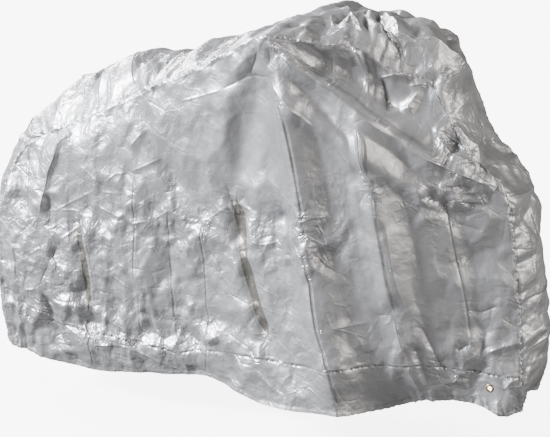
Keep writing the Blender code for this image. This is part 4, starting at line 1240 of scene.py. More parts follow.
# %% The sharp lines of a side
def side_lines(net, creases, patches, knots, seed):
    """Distance to the nearest crease, the size of its edge, the slots and the crumple."""
    x, z = net[..., 0], net[..., 2] - FLOOR
    up, rear = lengths(net, 0), lengths(net, 1)
    offset, size = crease_lines(creases + knot_creases(knots, seed), x, z)
    low = up - up[BAND_ROWS:BAND_ROWS + 1]
    low_along = np.broadcast_to(rear[BAND_ROWS:BAND_ROWS + 1], x.shape)
    top_along = np.broadcast_to(rear[-1:], x.shape)
    offset, size = mark_seam(offset, size, low, low_along, seed + 1)
    tight = 1 + TIGHT_MORE * ease(1 - np.abs(x - TIGHT_X) / TIGHT_REACH)
    offset, size = mark_seam(offset, size, up[-1:] - up, top_along, seed + 2, tight)
    offset, size = mark_seam(offset, size, rear, up, seed + 3)
    offset, size = mark_seam(offset, size, rear[:, -1:] - rear, up, seed + 4)
    return {"crease_off": offset, "crease_size": size, "slot_off": slot_edges(creases, x, z),
            "crumpled": crumple_amount(patches, x, z)}


near_lines = side_lines(near, NEAR_CREASES, NEAR_PATCHES, NEAR_KNOTS, 100)
far_lines = side_lines(far, FAR_CREASES, FAR_PATCHES, FAR_KNOTS, 300)
for name, values in near_lines.items():
    print("near", name, float(np.abs(values).max()))

# %% The relief of the strip
STRIP_CRUMPLED = 0.75
HUMP_CRUMPLED = 0.5
HUMP_ALONG = 2.15
HUMP_REACH = 0.35
STRIP_CRINKLED = 0.65


def strip_places(net):
    """Lengths along the middle, the near edge and the far edge, and across from each."""
    def down(column):
        """Length down a column of the net, the same for every place beside it."""
        return np.broadcast_to(lengths(net[:, column][:, None], 0), net.shape[:2])

    across = lengths(net, 1)
    return down(STRIP_STEPS // 2), down(0), down(-1), across, across[:, -1:] - across


def strip_relief(net, seed):
    """How far the strip stands out of its smooth net."""
    along, near_along, far_along, across, back = strip_places(net)
    hump = ease(1 - np.abs(along - HUMP_ALONG) / HUMP_REACH)
    total = crease_height(STRIP_CREASES, along, net[..., 1])
    total += crumple(along, net[..., 1], STRIP_CRUMPLED + HUMP_CRUMPLED * hump, seed + 2)
    for edge, away, row, step in (
            (near_along, across, STRIP_LONG, 3), (far_along, back, STRIP_LONG, 4),
            (near_along, across, TOP_SHORT, 6), (far_along, back, TOP_SHORT, 7)):
        total += pucker_row(edge, away, row, seed + step)
    from_hem = np.minimum(along, along.max() - along)
    gather = pucker_row(across, from_hem, STRIP_GATHER, seed + 5)
    total += gather - HEM_FURROW * groove(from_hem - HEM_LINE, HEM_WIDTH)
    sewn = ease(across / SEAM_HOLD) * ease(back / SEAM_HOLD)
    return total * sewn


def strip_lines(net, seed):
    """What side_lines gives, for the strip: its places are (length along it, y)."""
    along, near_along, far_along, across, back = strip_places(net)
    offset, size = crease_lines(STRIP_CREASES, along, net[..., 1])
    offset, size = mark_seam(offset, size, across, near_along, seed + 1)
    offset, size = mark_seam(offset, size, back, far_along, seed + 2)
    return {"crease_off": offset, "crease_size": size,
            "slot_off": np.full(along.shape, SLOT_REACH),
            "crumpled": np.full(along.shape, STRIP_CRINKLED)}


strip_lift = strip_relief(strip, 500)
strip_edges = strip_lines(strip, 600)
print("strip relief", strip_lift.min(), strip_lift.max())

# %% Crests and hollows, where the finish paints highlight and shade
CREST_PASSES = 5
CREST_DEPTH = 0.0022


def blurred(values, passes):
    """Average each point with its neighbours, again and again."""
    for step in range(passes):
        padded = np.pad(values, 1, mode="edge")
        values = 0.2 * (values + padded[:-2, 1:-1] + padded[2:, 1:-1]
                        + padded[1:-1, :-2] + padded[1:-1, 2:])
    return values


def wear(relief):
    """From -1 in a deep furrow to 1 on a sharp ridge, for painted shade and highlight."""
    return np.clip((relief - blurred(relief, CREST_PASSES)) / CREST_DEPTH, -1, 1)


near_maps = {"wear": wear(near_relief), **near_lines}
far_maps = {"wear": wear(far_relief), **far_lines}
strip_maps = {"wear": wear(strip_lift), **strip_edges}
print("maps", list(near_maps))

# %% [markdown]
# ## From nets to sheets of cloth
#
# Each net becomes one mesh of four-sided faces. Its UV map holds real lengths in metres,
# so a weave keeps its size everywhere. Solidify then gives the thin sheet its second
# skin. Each band gets the round hole that its eyelet passes, cut with a Boolean.

# %% Building a sheet
CLOTH = 0.0009
SHARP_ANGLE = 70


def sheet_object(name, net, maps):
    """A mesh object from a net, with a UV map in metres and its maps of creases."""
    rows, columns = net.shape[:2]
    index = np.arange(rows * columns).reshape(rows, columns)
    corners = np.stack([index[:-1, :-1], index[:-1, 1:], index[1:, 1:], index[1:, :-1]],
                       axis=-1).reshape(-1, 4)
    data = bpy.data.meshes.new(name)
    data.vertices.add(rows * columns)
    data.vertices.foreach_set("co", net.reshape(-1))
    data.loops.add(corners.size)
    data.loops.foreach_set("vertex_index", corners.reshape(-1))
    data.polygons.add(len(corners))
    data.polygons.foreach_set("loop_start", np.arange(0, corners.size, 4))
    data.update(calc_edges=True)
    plane = np.stack([lengths(net, 1), lengths(net, 0)], axis=-1).reshape(-1, 2)
    uv = data.uv_layers.new(name="cloth")
    uv.data.foreach_set("uv", plane[corners.reshape(-1)].reshape(-1))
    for label, values in maps.items():
        layer = data.attributes.new(label, "FLOAT", "POINT")
        layer.data.foreach_set("value", values.reshape(-1))
    data.validate()
    data.shade_smooth()
    piece = bpy.data.objects.new(name, data)
    bpy.context.scene.collection.objects.link(piece)
    return piece


def apply_modifiers(piece):
    """Replace the mesh of an object by what its modifiers make of it."""
    graph = bpy.context.evaluated_depsgraph_get()
    made = bpy.data.meshes.new_from_object(piece.evaluated_get(graph))
    piece.modifiers.clear()
    old = piece.data
    piece.data = made
    made.name = piece.name
    if old.users == 0:
        bpy.data.meshes.remove(old)


def thicken(piece):
    """Give a sheet its second skin on the inside, with crisp outer edges."""
    solid = piece.modifiers.new("second_skin", "SOLIDIFY")
    solid.thickness = CLOTH
    solid.offset = -1.0
    apply_modifiers(piece)
    piece.data.set_sharp_from_angle(angle=math.radians(SHARP_ANGLE))


# %% The five sheets
near_cloth = near + near_normals * near_relief[..., None]
far_cloth = far + far_normals * far_relief[..., None]
strip_cloth = strip + strip_normals * strip_lift[..., None]


def cut_piece(net, maps, rows, turned):
    """Some rows of a net with their maps, its columns turned round if asked."""
    way = slice(None, None, -1) if turned else slice(None)
    return net[rows, way], {label: values[rows, way] for label, values in maps.items()}


WALL = slice(BAND_ROWS, None)
BAND = slice(None, BAND_ROWS + 1)
SHEETS = {
    "strip_sheet": cut_piece(strip_cloth, strip_maps, slice(None), True),
    "side_near_sheet": cut_piece(near_cloth, near_maps, WALL, False),
    "side_far_sheet": cut_piece(far_cloth, far_maps, WALL, True),
    "band_near_sheet": cut_piece(near_cloth, near_maps, BAND, False),
    "band_far_sheet": cut_piece(far_cloth, far_maps, BAND, True),
}
sheets = {name: sheet_object(name, *piece) for name, piece in SHEETS.items()}
for piece in sheets.values():
    thicken(piece)
    print(piece.name, len(piece.data.polygons), "faces")

# %% The holes for the eyelets
HOLE_RADIUS = 0.0078
HOLE_STEPS = 48
CUTTER_DEPTH = 0.03


def cut_hole(band, side):
    """Cut the round hole of the eyelet with a cylinder that is thrown away after."""
    bpy.ops.mesh.primitive_cylinder_add(
        vertices=HOLE_STEPS, radius=HOLE_RADIUS, depth=CUTTER_DEPTH,
        location=(EYELET_X, side * EYELET_HALF, EYELET_HEIGHT + FLOOR),
        rotation=(math.radians(90), 0.0, 0.0))
    cutter = bpy.context.active_object
    cut = band.modifiers.new("hole", "BOOLEAN")
    cut.operation = "DIFFERENCE"
    cut.object = cutter
    apply_modifiers(band)
    bpy.data.objects.remove(cutter, do_unlink=True)


cut_hole(sheets["band_near_sheet"], -1)
cut_hole(sheets["band_far_sheet"], 1)
print("holes", 2 * HOLE_RADIUS, "metres across")

# %% [markdown]
# ## The finish of the cloth
#
# The cloth is a tight taffeta with an aluminium-grey coating: half metal, half plastic.
# It has a fine weave, a crinkle that is too small for the mesh, and a coating that is
# rubbed a little duller and darker in places. Shade is painted into its hollows, furrows
# and slots, and highlight onto its crests. Node groups give the heights and masks of
# these, so the three cloths share them with values of their own.

# %% A node group
def new_group(name, inputs, outputs):
    """A shader node group. Its sockets are numbers; an input without one is a place."""
    tree = bpy.data.node_groups.new(name, "ShaderNodeTree")
    add = tree.interface.new_socket
    for socket, value in inputs.items():
        if value is None:
            add(name=socket, in_out="INPUT", socket_type="NodeSocketVector")
        else:
            made = add(name=socket, in_out="INPUT", socket_type="NodeSocketFloat")
            made.default_value = value
    for socket in outputs:
        add(name=socket, in_out="OUTPUT", socket_type="NodeSocketFloat")
    return tree, tree.nodes.new("NodeGroupInput"), tree.nodes.new("NodeGroupOutput")


# %% Nodes for numbers
def maths(tree, operation, first, second=None, third=None):
    """A Math node; each value is a number or a socket."""
    node = tree.nodes.new("ShaderNodeMath")
    node.operation = operation
    for socket, value in zip(node.inputs, (first, second, third)):
        if value is not None:
            feed(tree, value, socket)
    return node.outputs[0]


def noise(tree, vector, scale, detail, roughness=0.5, distortion=0.0):
    """Cloudy values about 0.5; the scale is a number or a socket."""
    node = tree.nodes.new("ShaderNodeTexNoise")
    tree.links.new(vector, node.inputs["Vector"])
    feed(tree, scale, node.inputs["Scale"])
    node.inputs["Detail"].default_value = detail
    node.inputs["Roughness"].default_value = roughness
    node.inputs["Distortion"].default_value = distortion
    return node.outputs["Fac"]


def ramp(tree, value, low, high):
    """Stretch a value from low..high to 0..1 with soft ends."""
    node = tree.nodes.new("ShaderNodeMapRange")
    node.interpolation_type = "SMOOTHSTEP"
    tree.links.new(value, node.inputs["Value"])
    node.inputs["From Min"].default_value = low
    node.inputs["From Max"].default_value = high
    return node.outputs["Result"]


Spots = namedtuple("Spots", "scale detail low high roughness twist", defaults=(0.5, 0.0))


def spots(tree, place, kind):
    """Spots with soft borders, from 0 to 1."""
    clouds = noise(tree, place, kind.scale, kind.detail, kind.roughness, kind.twist)
    return ramp(tree, clouds, kind.low, kind.high)


# %% Nodes for places, maps and relief
def shifted(tree, place, shift):
    """The same place, moved by a fixed step, so that a pattern doesn't repeat."""
    node = tree.nodes.new("ShaderNodeVectorMath")
    node.operation = "ADD"
    node.inputs[1].default_value = shift
    tree.links.new(place, node.inputs[0])
    return node.outputs[0]


def carried(tree, label):
    """A value that the mesh carries at its points."""
    node = tree.nodes.new("ShaderNodeAttribute")
    node.attribute_name = label
    return node.outputs["Fac"]


def bump(tree, height, distance, below=None, strength=1.0):
    """Relief that is only seen in the light, on top of the relief below it."""
    node = tree.nodes.new("ShaderNodeBump")
    node.inputs["Distance"].default_value = distance
    node.inputs["Strength"].default_value = strength
    tree.links.new(height, node.inputs["Height"])
    if below is not None:
        tree.links.new(below, node.inputs["Normal"])
    return node.outputs["Normal"]


# %% The weave
THREADS = 900.0


def build_weave():
    """Height of a plain weave: warp over weft, weft over warp. UV is in metres."""
    tree, entry, out = new_group(
        "taffeta_weave", {"UV": None, "Threads": THREADS}, ("Height",))
    split = tree.nodes.new("ShaderNodeSeparateXYZ")
    tree.links.new(entry.outputs["UV"], split.inputs[0])
    turns = maths(tree, "MULTIPLY", entry.outputs["Threads"], math.pi)
    across = maths(tree, "SINE", maths(tree, "MULTIPLY", split.outputs["X"], turns))
    along = maths(tree, "SINE", maths(tree, "MULTIPLY", split.outputs["Y"], turns))
    over = maths(tree, "MULTIPLY", across, along)
    tree.links.new(over, out.inputs["Height"])
    return tree


weave_group = build_weave()
print("the weave has", len(weave_group.nodes), "nodes")


# %% The parts of the crinkle
CRINKLE_SIZE = 55.0
Layer = namedtuple("Layer", "share height")
CRINKLE_LAYERS = (Layer(0.36, 1.5), Layer(1.0, 0.9), Layer(2.3, 0.22))
RIPPLE = Layer(0.7, 0.9)
CreaseNet = namedtuple("CreaseNet", "scale half shift")
LONG_NET = CreaseNet(15.0, 0.0050, (0.0, 0.0, 0.0))
SHORT_NET = CreaseNet(34.0, 0.0036, (0.7, 0.3, 0.5))
SHORT_SHARE = 0.55
NET_PATCH = 0.45
NET_STEEP = 6.0
NET_TURN = (0.0, 0.6, 0.0)
NET_STRETCH = (1.6, 1.0, 0.8)
FIRST_SCATTER = (0.0, 0.0, 0.0)
SECOND_SCATTER = (0.371, 0.553, 0.217)
BEND_SCALE = 14.0
BEND_BY = (0.03, 0.03, 0.03)
BEND_DETAIL = 2.0
RIPPLE_DETAIL = 1.5
FINE_SPOTS = Spots(9.0, 3.0, 0.36, 0.66)
WORN_SPOTS = Spots(23.0, 5.0, 0.52, 0.74, 0.62, 0.6)


def voronoi(tree, feature, place, scale):
    """Distance to the nearest point of a scatter, or to the edge of its cell."""
    node = tree.nodes.new("ShaderNodeTexVoronoi")
    node.feature = feature
    tree.links.new(place, node.inputs["Vector"])
    feed(tree, scale, node.inputs["Scale"])
    return node.outputs["Distance"]


def cell_square(tree, place, scale, shift):
    """Squared distance to the nearest point of a scatter."""
    away = voronoi(tree, "F1", shifted(tree, place, shift), scale)
    return maths(tree, "POWER", away, 2.0)


def crease_net(tree, place, net):
    """Short straight creases: the borders of cells, shown only here and there."""
    place = shifted(tree, place, net.shift)
    away = voronoi(tree, "DISTANCE_TO_EDGE", place, net.scale)
    away = maths(tree, "MULTIPLY", away, -1.0 / (net.scale * net.half))
    line = maths(tree, "MAXIMUM", maths(tree, "ADD", away, 1.0), 0.0)
    show = noise(tree, place, NET_PATCH * net.scale, 1.0)
    way = maths(tree, "MULTIPLY", maths(tree, "SUBTRACT", show, 0.5), NET_STEEP)
    way = maths(tree, "MINIMUM", maths(tree, "MAXIMUM", way, -1.0), 1.0)
    return maths(tree, "MULTIPLY", line, way)


# %% The crinkle as one group
def build_crinkle():
    """Height of the small creases that the mesh is too coarse for."""
    tree, entry, out = new_group(
        "coating_crinkle", {"Place": None, "Size": CRINKLE_SIZE}, ("Height", "Net", "Worn"))
    place = entry.outputs["Place"]
    size = entry.outputs["Size"]
    bend = tree.nodes.new("ShaderNodeTexNoise")
    tree.links.new(place, bend.inputs["Vector"])
    bend.inputs["Scale"].default_value = BEND_SCALE
    bend.inputs["Detail"].default_value = BEND_DETAIL
    shift = tree.nodes.new("ShaderNodeVectorMath")
    shift.operation = "MULTIPLY_ADD"
    tree.links.new(bend.outputs["Color"], shift.inputs[0])
    shift.inputs[1].default_value = BEND_BY
    tree.links.new(place, shift.inputs[2])
    bent = shift.outputs[0]
    heights = []
    for layer in CRINKLE_LAYERS:
        scale = maths(tree, "MULTIPLY", size, layer.share)
        first = cell_square(tree, bent, scale, FIRST_SCATTER)
        second = cell_square(tree, bent, scale, SECOND_SCATTER)
        facet = maths(tree, "SUBTRACT", first, second)
        heights.append(maths(tree, "MULTIPLY", facet, layer.height))
    scale = maths(tree, "MULTIPLY", size, RIPPLE.share)
    ripple = noise(tree, bent, scale, RIPPLE_DETAIL)
    patches = spots(tree, place, FINE_SPOTS)
    fine = maths(tree, "MULTIPLY", maths(tree, "ADD", heights[1], heights[2]), patches)
    soft = maths(tree, "MULTIPLY_ADD", ripple, RIPPLE.height, heights[0])
    tree.links.new(maths(tree, "ADD", fine, soft), out.inputs["Height"])
    slanted = tree.nodes.new("ShaderNodeMapping")
    slanted.vector_type = "TEXTURE"
    slanted.inputs["Rotation"].default_value = NET_TURN
    slanted.inputs["Scale"].default_value = NET_STRETCH
    tree.links.new(place, slanted.inputs["Vector"])
    long = crease_net(tree, slanted.outputs[0], LONG_NET)
    short = crease_net(tree, bent, SHORT_NET)
    both = maths(tree, "MULTIPLY_ADD", short, SHORT_SHARE, long)
    tree.links.new(both, out.inputs["Net"])
    tree.links.new(spots(tree, place, WORN_SPOTS), out.inputs["Worn"])
    return tree


crinkle_group = build_crinkle()
print("the crinkle has", len(crinkle_group.nodes), "nodes")


# %% The sharp edge of a crease, drawn from its distance
LINE_HALF = 0.0055
EDGE_FROM = 0.0002
EDGE_FULL = 0.0024
SLOT_BLEND = 0.0012


def build_edge():
    """Height of the crease's edge, and masks for painted highlight on a ridge and painted shade
    in a furrow and a slot.
    """
    tree, entry, out = new_group(
        "crease_edge", {"Off": LINE_REACH, "Size": 0.0, "Slot": SLOT_REACH},
        ("Height", "Ridge", "Furrow", "Inside"))
    away = maths(tree, "ABSOLUTE", entry.outputs["Off"])
    share = maths(tree, "MULTIPLY_ADD", away, -1.0 / LINE_HALF, 1.0)
    share = maths(tree, "MAXIMUM", share, 0.0)
    height = maths(tree, "MULTIPLY", share, entry.outputs["Size"])
    tree.links.new(height, out.inputs["Height"])
    tree.links.new(ramp(tree, height, EDGE_FROM, EDGE_FULL), out.inputs["Ridge"])
    under = maths(tree, "MULTIPLY", height, -1.0)
    tree.links.new(ramp(tree, under, EDGE_FROM, EDGE_FULL), out.inputs["Furrow"])
    inside = maths(tree, "MULTIPLY", entry.outputs["Slot"], -1.0)
    tree.links.new(ramp(tree, inside, -SLOT_BLEND, SLOT_BLEND), out.inputs["Inside"])
    return tree


edge_group = build_edge()
print("the sharp edge has", len(edge_group.nodes), "nodes")

# %% The colours and finishes of the cloth
Finish = namedtuple("Finish", "silver dull metallic roughness crinkle")
# One cloth in three copies: the strip on top is painted a little lighter and the low bands a
# little darker, as painted light and shade.
FINISHES = {
    "strip_cloth": Finish((0.56, 0.565, 0.59), (0.42, 0.42, 0.43), 0.75, 0.40, 0.0021),
    "side_cloth": Finish((0.54, 0.545, 0.57), (0.41, 0.41, 0.42), 0.75, 0.40, 0.0021),
    "band_cloth": Finish((0.53, 0.535, 0.555), (0.40, 0.40, 0.405), 0.75, 0.40, 0.0022),
}
# Painted light: shade in the hollows, furrows and slots, and highlight on the crests and ridges.
HOLLOW_SHADE = (0.17, 0.16, 0.145)
CREST_HIGHLIGHT = (0.80, 0.80, 0.82)
SLOT_SHADE = (0.185, 0.175, 0.150)
Tint = namedtuple("Tint", "mask share colour")
TINTS = [Tint(*row) for row in (
    ("dips", 0.25, HOLLOW_SHADE), ("tops", 0.15, CREST_HIGHLIGHT), ("furrow", 0.55, HOLLOW_SHADE),
    ("ridge", 0.25, CREST_HIGHLIGHT), ("slot", 0.88, SLOT_SHADE))]
NET_HEIGHT = 0.0015
WEAVE_HEIGHT = 0.00006
WEAVE_STRENGTH = 0.5
TONE = Spots(4.0, 3.0, 0.35, 0.70)
TONE_SHARE = 0.35
WORN_SHARE = 0.65
WORN_ROUGHER = 0.16
print("finishes", list(FINISHES))


# %% The cloth material
def place_group(tree, group, inputs):
    """Put a node group in a tree and give its inputs their values or sockets."""
    node = tree.nodes.new("ShaderNodeGroup")
    node.node_tree = group
    for name, value in inputs.items():
        feed(tree, value, node.inputs[name])
    return node.outputs


def cloth_material(name, finish):
    """Silver-coated taffeta."""
    material, tree, shader = new_material(name)
    place = tree.nodes.new("ShaderNodeTexCoord").outputs["Object"]
    uv = tree.nodes.new("ShaderNodeUVMap")
    uv.uv_map = "cloth"
    weave = place_group(tree, weave_group, {"Threads": THREADS, "UV": uv.outputs["UV"]})
    crinkle = place_group(tree, crinkle_group, {"Size": CRINKLE_SIZE, "Place": place})
    edge = place_group(tree, edge_group, {
        "Off": carried(tree, "crease_off"), "Size": carried(tree, "crease_size"),
        "Slot": carried(tree, "slot_off")})
    worn = maths(tree, "MULTIPLY", crinkle["Worn"], WORN_SHARE)
    tone = spots(tree, place, TONE)
    dull = maths(tree, "MULTIPLY_ADD", tone, TONE_SHARE, worn)
    colour = mix_colours(tree, dull, finish.silver, finish.dull)
    # Shade is painted into the hollows, furrows and slots, and highlight onto the crests and
    # ridges.
    crest_map = carried(tree, "wear")
    masks = {"dips": ramp(tree, maths(tree, "MULTIPLY", crest_map, -1.0), 0.05, 1.0),
             "tops": ramp(tree, crest_map, 0.10, 1.0),
             "furrow": edge["Furrow"], "ridge": edge["Ridge"], "slot": edge["Inside"]}
    for tint in TINTS:
        share = maths(tree, "MULTIPLY", masks[tint.mask], tint.share)
        colour = mix_colours(tree, share, colour, tint.colour)
    tree.links.new(colour, shader.inputs["Base Color"])
    shader.inputs["Metallic"].default_value = finish.metallic
    rough = maths(tree, "MULTIPLY_ADD", crinkle["Worn"], WORN_ROUGHER, finish.roughness)
    tree.links.new(rough, shader.inputs["Roughness"])
    amount = carried(tree, "crumpled")
    stronger = maths(tree, "MULTIPLY", crinkle["Height"], amount)
    net = maths(tree, "MULTIPLY", crinkle["Net"], NET_HEIGHT)
    net = maths(tree, "MULTIPLY", net, amount)
    small = bump(tree, weave["Height"], WEAVE_HEIGHT, strength=WEAVE_STRENGTH)
    large = bump(tree, stronger, finish.crinkle, below=small)
    sharp = bump(tree, maths(tree, "ADD", edge["Height"], net), 1.0, below=large)
    tree.links.new(sharp, shader.inputs["Normal"])
    return material


cloths = {name: cloth_material(name, finish) for name, finish in FINISHES.items()}
for name, finish in (("strip_sheet", "strip_cloth"), ("side_near_sheet", "side_cloth"),
                     ("side_far_sheet", "side_cloth"), ("band_near_sheet", "band_cloth"),
                     ("band_far_sheet", "band_cloth")):
    sheets[name].data.materials.clear()
    sheets[name].data.materials.append(cloths[finish])
print("cloth materials", list(cloths))

# %% [markdown]
# ## The brass eyelets
#
# An eyelet is one turned piece of thin brass: a barrel through the cloth and a flange
# rolled over on each face. A closed profile and the Screw modifier give it.

# %% The turned ring
EYELET_BORE = 0.0062
EYELET_FLANGE = 0.0120
EYELET_SEAT = CLOTH / 2 + 0.0003
RingPoint = namedtuple("RingPoint", "name radius height")
RING_FACE = [RingPoint(*row) for row in (
    ("bore", EYELET_BORE, 0.0),
    ("bore_round", EYELET_BORE + 0.0006, 0.0008),
    ("flange_top", EYELET_BORE + 0.0020, 0.0011),
    ("flange_fall", EYELET_FLANGE - 0.0016, 0.0010),
    ("flange_round", EYELET_FLANGE - 0.0005, 0.0006),
    ("rim", EYELET_FLANGE, 0.0001),
    ("under_rim", EYELET_FLANGE - 0.0006, 0.0),
    ("under_bore", EYELET_BORE + 0.0011, 0.0),
)]


def ring_profile():
    """The section of the ring: one face, and the same again turned over."""
    face = [(point.radius, EYELET_SEAT + point.height) for point in RING_FACE]
    return face + [(radius, -height) for radius, height in face[::-1]]


print("the section of the ring has", len(ring_profile()), "points")

# %% The brass
BRASS = (0.62, 0.47, 0.24)
BRASS_DULL = (0.36, 0.28, 0.16)
BRASS_SPOTS = Spots(260.0, 4.0, 0.35, 0.75)
BRASS_ROUGHNESS = 0.24
DULL_ROUGHER = 0.25
SCRATCH_HEIGHT = 0.0001


def brass_material():
    """Brass that is cloudy in places, with hair-fine scratches."""
    material, tree, shader = new_material("eyelet_brass")
    place = tree.nodes.new("ShaderNodeTexCoord").outputs["Object"]
    dull = spots(tree, place, BRASS_SPOTS)
    tree.links.new(mix_colours(tree, dull, BRASS, BRASS_DULL), shader.inputs["Base Color"])
    shader.inputs["Metallic"].default_value = 1.0
    rough = maths(tree, "MULTIPLY_ADD", dull, DULL_ROUGHER, BRASS_ROUGHNESS)
    tree.links.new(rough, shader.inputs["Roughness"])
    scratch = bump(tree, noise(tree, place, 900.0, 2.0), SCRATCH_HEIGHT)
    tree.links.new(scratch, shader.inputs["Normal"])
    return material


brass = brass_material()
print("made", brass.name)

# %% Turning the ring and seating it
MERGE = 0.00001


def eyelet(name, side):
    """Turn the profile round the bore and seat the ring in the hole of its band."""
    mesh = bmesh.new()
    corners = [mesh.verts.new((radius, 0.0, height)) for radius, height in ring_profile()]
    for here, there in zip(corners, corners[1:] + corners[:1]):
        mesh.edges.new((here, there))
    data = bpy.data.meshes.new(name)
    mesh.to_mesh(data)
    mesh.free()
    ring = bpy.data.objects.new(name, data)
    bpy.context.scene.collection.objects.link(ring)
    turn = ring.modifiers.new("turn", "SCREW")
    turn.steps = HOLE_STEPS
    turn.render_steps = HOLE_STEPS
    turn.use_merge_vertices = True
    turn.merge_threshold = MERGE
    apply_modifiers(ring)
    shape = bmesh.new()
    shape.from_mesh(ring.data)
    bmesh.ops.remove_doubles(shape, verts=shape.verts, dist=MERGE)
    place = np.array([(1, 0, 0, EYELET_X), (0, 0, -1, side * (EYELET_HALF - CLOTH / 2)),
                      (0, 1, 0, EYELET_HEIGHT + FLOOR), (0, 0, 0, 1)])
    for vertex in shape.verts:
        vertex.co = (place @ np.array([*vertex.co, 1.0]))[:3]
    bmesh.ops.recalc_face_normals(shape, faces=shape.faces)
    shape.to_mesh(ring.data)
    shape.free()
    ring.data.shade_smooth()
    ring.data.materials.append(brass)
    return ring


eyelets = {name: eyelet(name, side) for name, side in
           (("eyelet_near_ring", -1), ("eyelet_far_ring", 1))}
print("eyelets", [len(ring.data.polygons) for ring in eyelets.values()])

# %% [markdown]
# ## Stitches
#
# Every seam is lock-stitched with grey thread, and each stitch shows as a short bead of
# thread that dips at both ends. There are thousands, all alike and along known lines,
# which is just the work for Geometry Nodes: a line is cut into steps of one stitch, and
# the same little bead is put on each step, laid along the line and flat on the cloth.

# %% One stitch
STITCH_PITCH = 0.0052
STITCH_LENGTH = 0.0040
STITCH_LIFT = 0.0003
THREAD = 0.0007
BEAD_SIDES = 4
BeadRing = namedtuple("BeadRing", "place share")
BEAD_RINGS = (BeadRing(-0.5, 0.25), BeadRing(-0.3, 0.9), BeadRing(0.3, 0.9),
              BeadRing(0.5, 0.25))
THREAD_DARK = (0.17, 0.17, 0.17)
THREAD_PALE = (0.30, 0.30, 0.30)
THREAD_ROUGHNESS = 0.6
STRAND_HEIGHT = 0.0002


def stitch_bead():
    """A bead of thread along X, thin at both ends."""
    mesh = bmesh.new()
    rings = []
    for place, share in BEAD_RINGS:
        rings.append([])
        for corner in range(BEAD_SIDES):
            turn = math.tau * corner / BEAD_SIDES + math.pi / BEAD_SIDES
            rings[-1].append(mesh.verts.new((
                place * STITCH_LENGTH, THREAD * share * math.cos(turn),
                THREAD * (share * math.sin(turn) - 0.5 * (1 - share)))))
    for here, there in zip(rings, rings[1:]):
        for corner in range(BEAD_SIDES):
            after = (corner + 1) % BEAD_SIDES
            mesh.faces.new((here[corner], here[after], there[after], there[corner]))
    mesh.faces.new(rings[0][::-1])
    mesh.faces.new(rings[-1])
    bmesh.ops.recalc_face_normals(mesh, faces=mesh.faces)
    data = bpy.data.meshes.new("stitch_bead")
    mesh.to_mesh(data)
    mesh.free()
    bead = bpy.data.objects.new("stitch_bead", data)
    bpy.context.scene.collection.objects.link(bead)
    return bead


def thread_material():
    """Grey thread with darker strands."""
    material, tree, shader = new_material("thread")
    place = tree.nodes.new("ShaderNodeTexCoord").outputs["Object"]
    twist = noise(tree, place, 700.0, 2.0)
    tree.links.new(mix_colours(tree, twist, THREAD_DARK, THREAD_PALE),
                   shader.inputs["Base Color"])
    shader.inputs["Roughness"].default_value = THREAD_ROUGHNESS
    tree.links.new(bump(tree, twist, STRAND_HEIGHT), shader.inputs["Normal"])
    return material


bead = stitch_bead()
thread = thread_material()
print("a stitch has", len(bead.data.polygons), "faces")


# %% The stitch tree
STITCH_SIZES = (0.85, 1.12)


def stitch_tree():
    """Cut a line into steps and put a stitch on each, flat on the cloth."""
    tree = bpy.data.node_groups.new("stitches_along", "GeometryNodeTree")
    for name, kind, way in (
            ("Line", "Geometry", "INPUT"), ("Pitch", "Float", "INPUT"), ("Seed", "Int", "INPUT"),
            ("Stitch", "Object", "INPUT"), ("Thread", "Material", "INPUT"),
            ("Stitches", "Geometry", "OUTPUT")):
        tree.interface.new_socket(name=name, in_out=way, socket_type="NodeSocket" + kind)
    nodes, links = tree.nodes, tree.links
    entry, out = nodes.new("NodeGroupInput"), nodes.new("NodeGroupOutput")
    curve = nodes.new("GeometryNodeMeshToCurve")
    links.new(entry.outputs["Line"], curve.inputs["Mesh"])
    steps = nodes.new("GeometryNodeResampleCurve")
    steps.mode = "LENGTH"
    links.new(curve.outputs["Curve"], steps.inputs["Curve"])
    links.new(entry.outputs["Pitch"], steps.inputs["Length"])
    bead_info = nodes.new("GeometryNodeObjectInfo")
    links.new(entry.outputs["Stitch"], bead_info.inputs["Object"])
    outward = nodes.new("GeometryNodeInputNamedAttribute")
    outward.data_type = "FLOAT_VECTOR"
    outward.inputs["Name"].default_value = "outward"
    tangent = nodes.new("GeometryNodeInputTangent")
    upright = nodes.new("FunctionNodeAlignRotationToVector")
    upright.axis = "Z"
    links.new(outward.outputs["Attribute"], upright.inputs["Vector"])
    along = nodes.new("FunctionNodeAlignRotationToVector")
    along.axis = "X"
    along.pivot_axis = "Z"
    links.new(upright.outputs["Rotation"], along.inputs["Rotation"])
    links.new(tangent.outputs["Tangent"], along.inputs["Vector"])
    size = nodes.new("FunctionNodeRandomValue")
    size.data_type = "FLOAT"
    size.inputs[2].default_value, size.inputs[3].default_value = STITCH_SIZES
    links.new(entry.outputs["Seed"], size.inputs["Seed"])
    copies = nodes.new("GeometryNodeInstanceOnPoints")
    links.new(steps.outputs["Curve"], copies.inputs["Points"])
    links.new(bead_info.outputs["Geometry"], copies.inputs["Instance"])
    links.new(along.outputs["Rotation"], copies.inputs["Rotation"])
    links.new(size.outputs[1], copies.inputs["Scale"])
    real = nodes.new("GeometryNodeRealizeInstances")
    links.new(copies.outputs["Instances"], real.inputs["Geometry"])
    finish = nodes.new("GeometryNodeSetMaterial")
    links.new(real.outputs["Geometry"], finish.inputs["Geometry"])
    links.new(entry.outputs["Thread"], finish.inputs["Material"])
    links.new(finish.outputs["Geometry"], out.inputs["Stitches"])
    return tree


STITCH_TREE = stitch_tree()
print(STITCH_TREE.name, len(STITCH_TREE.nodes), "nodes")


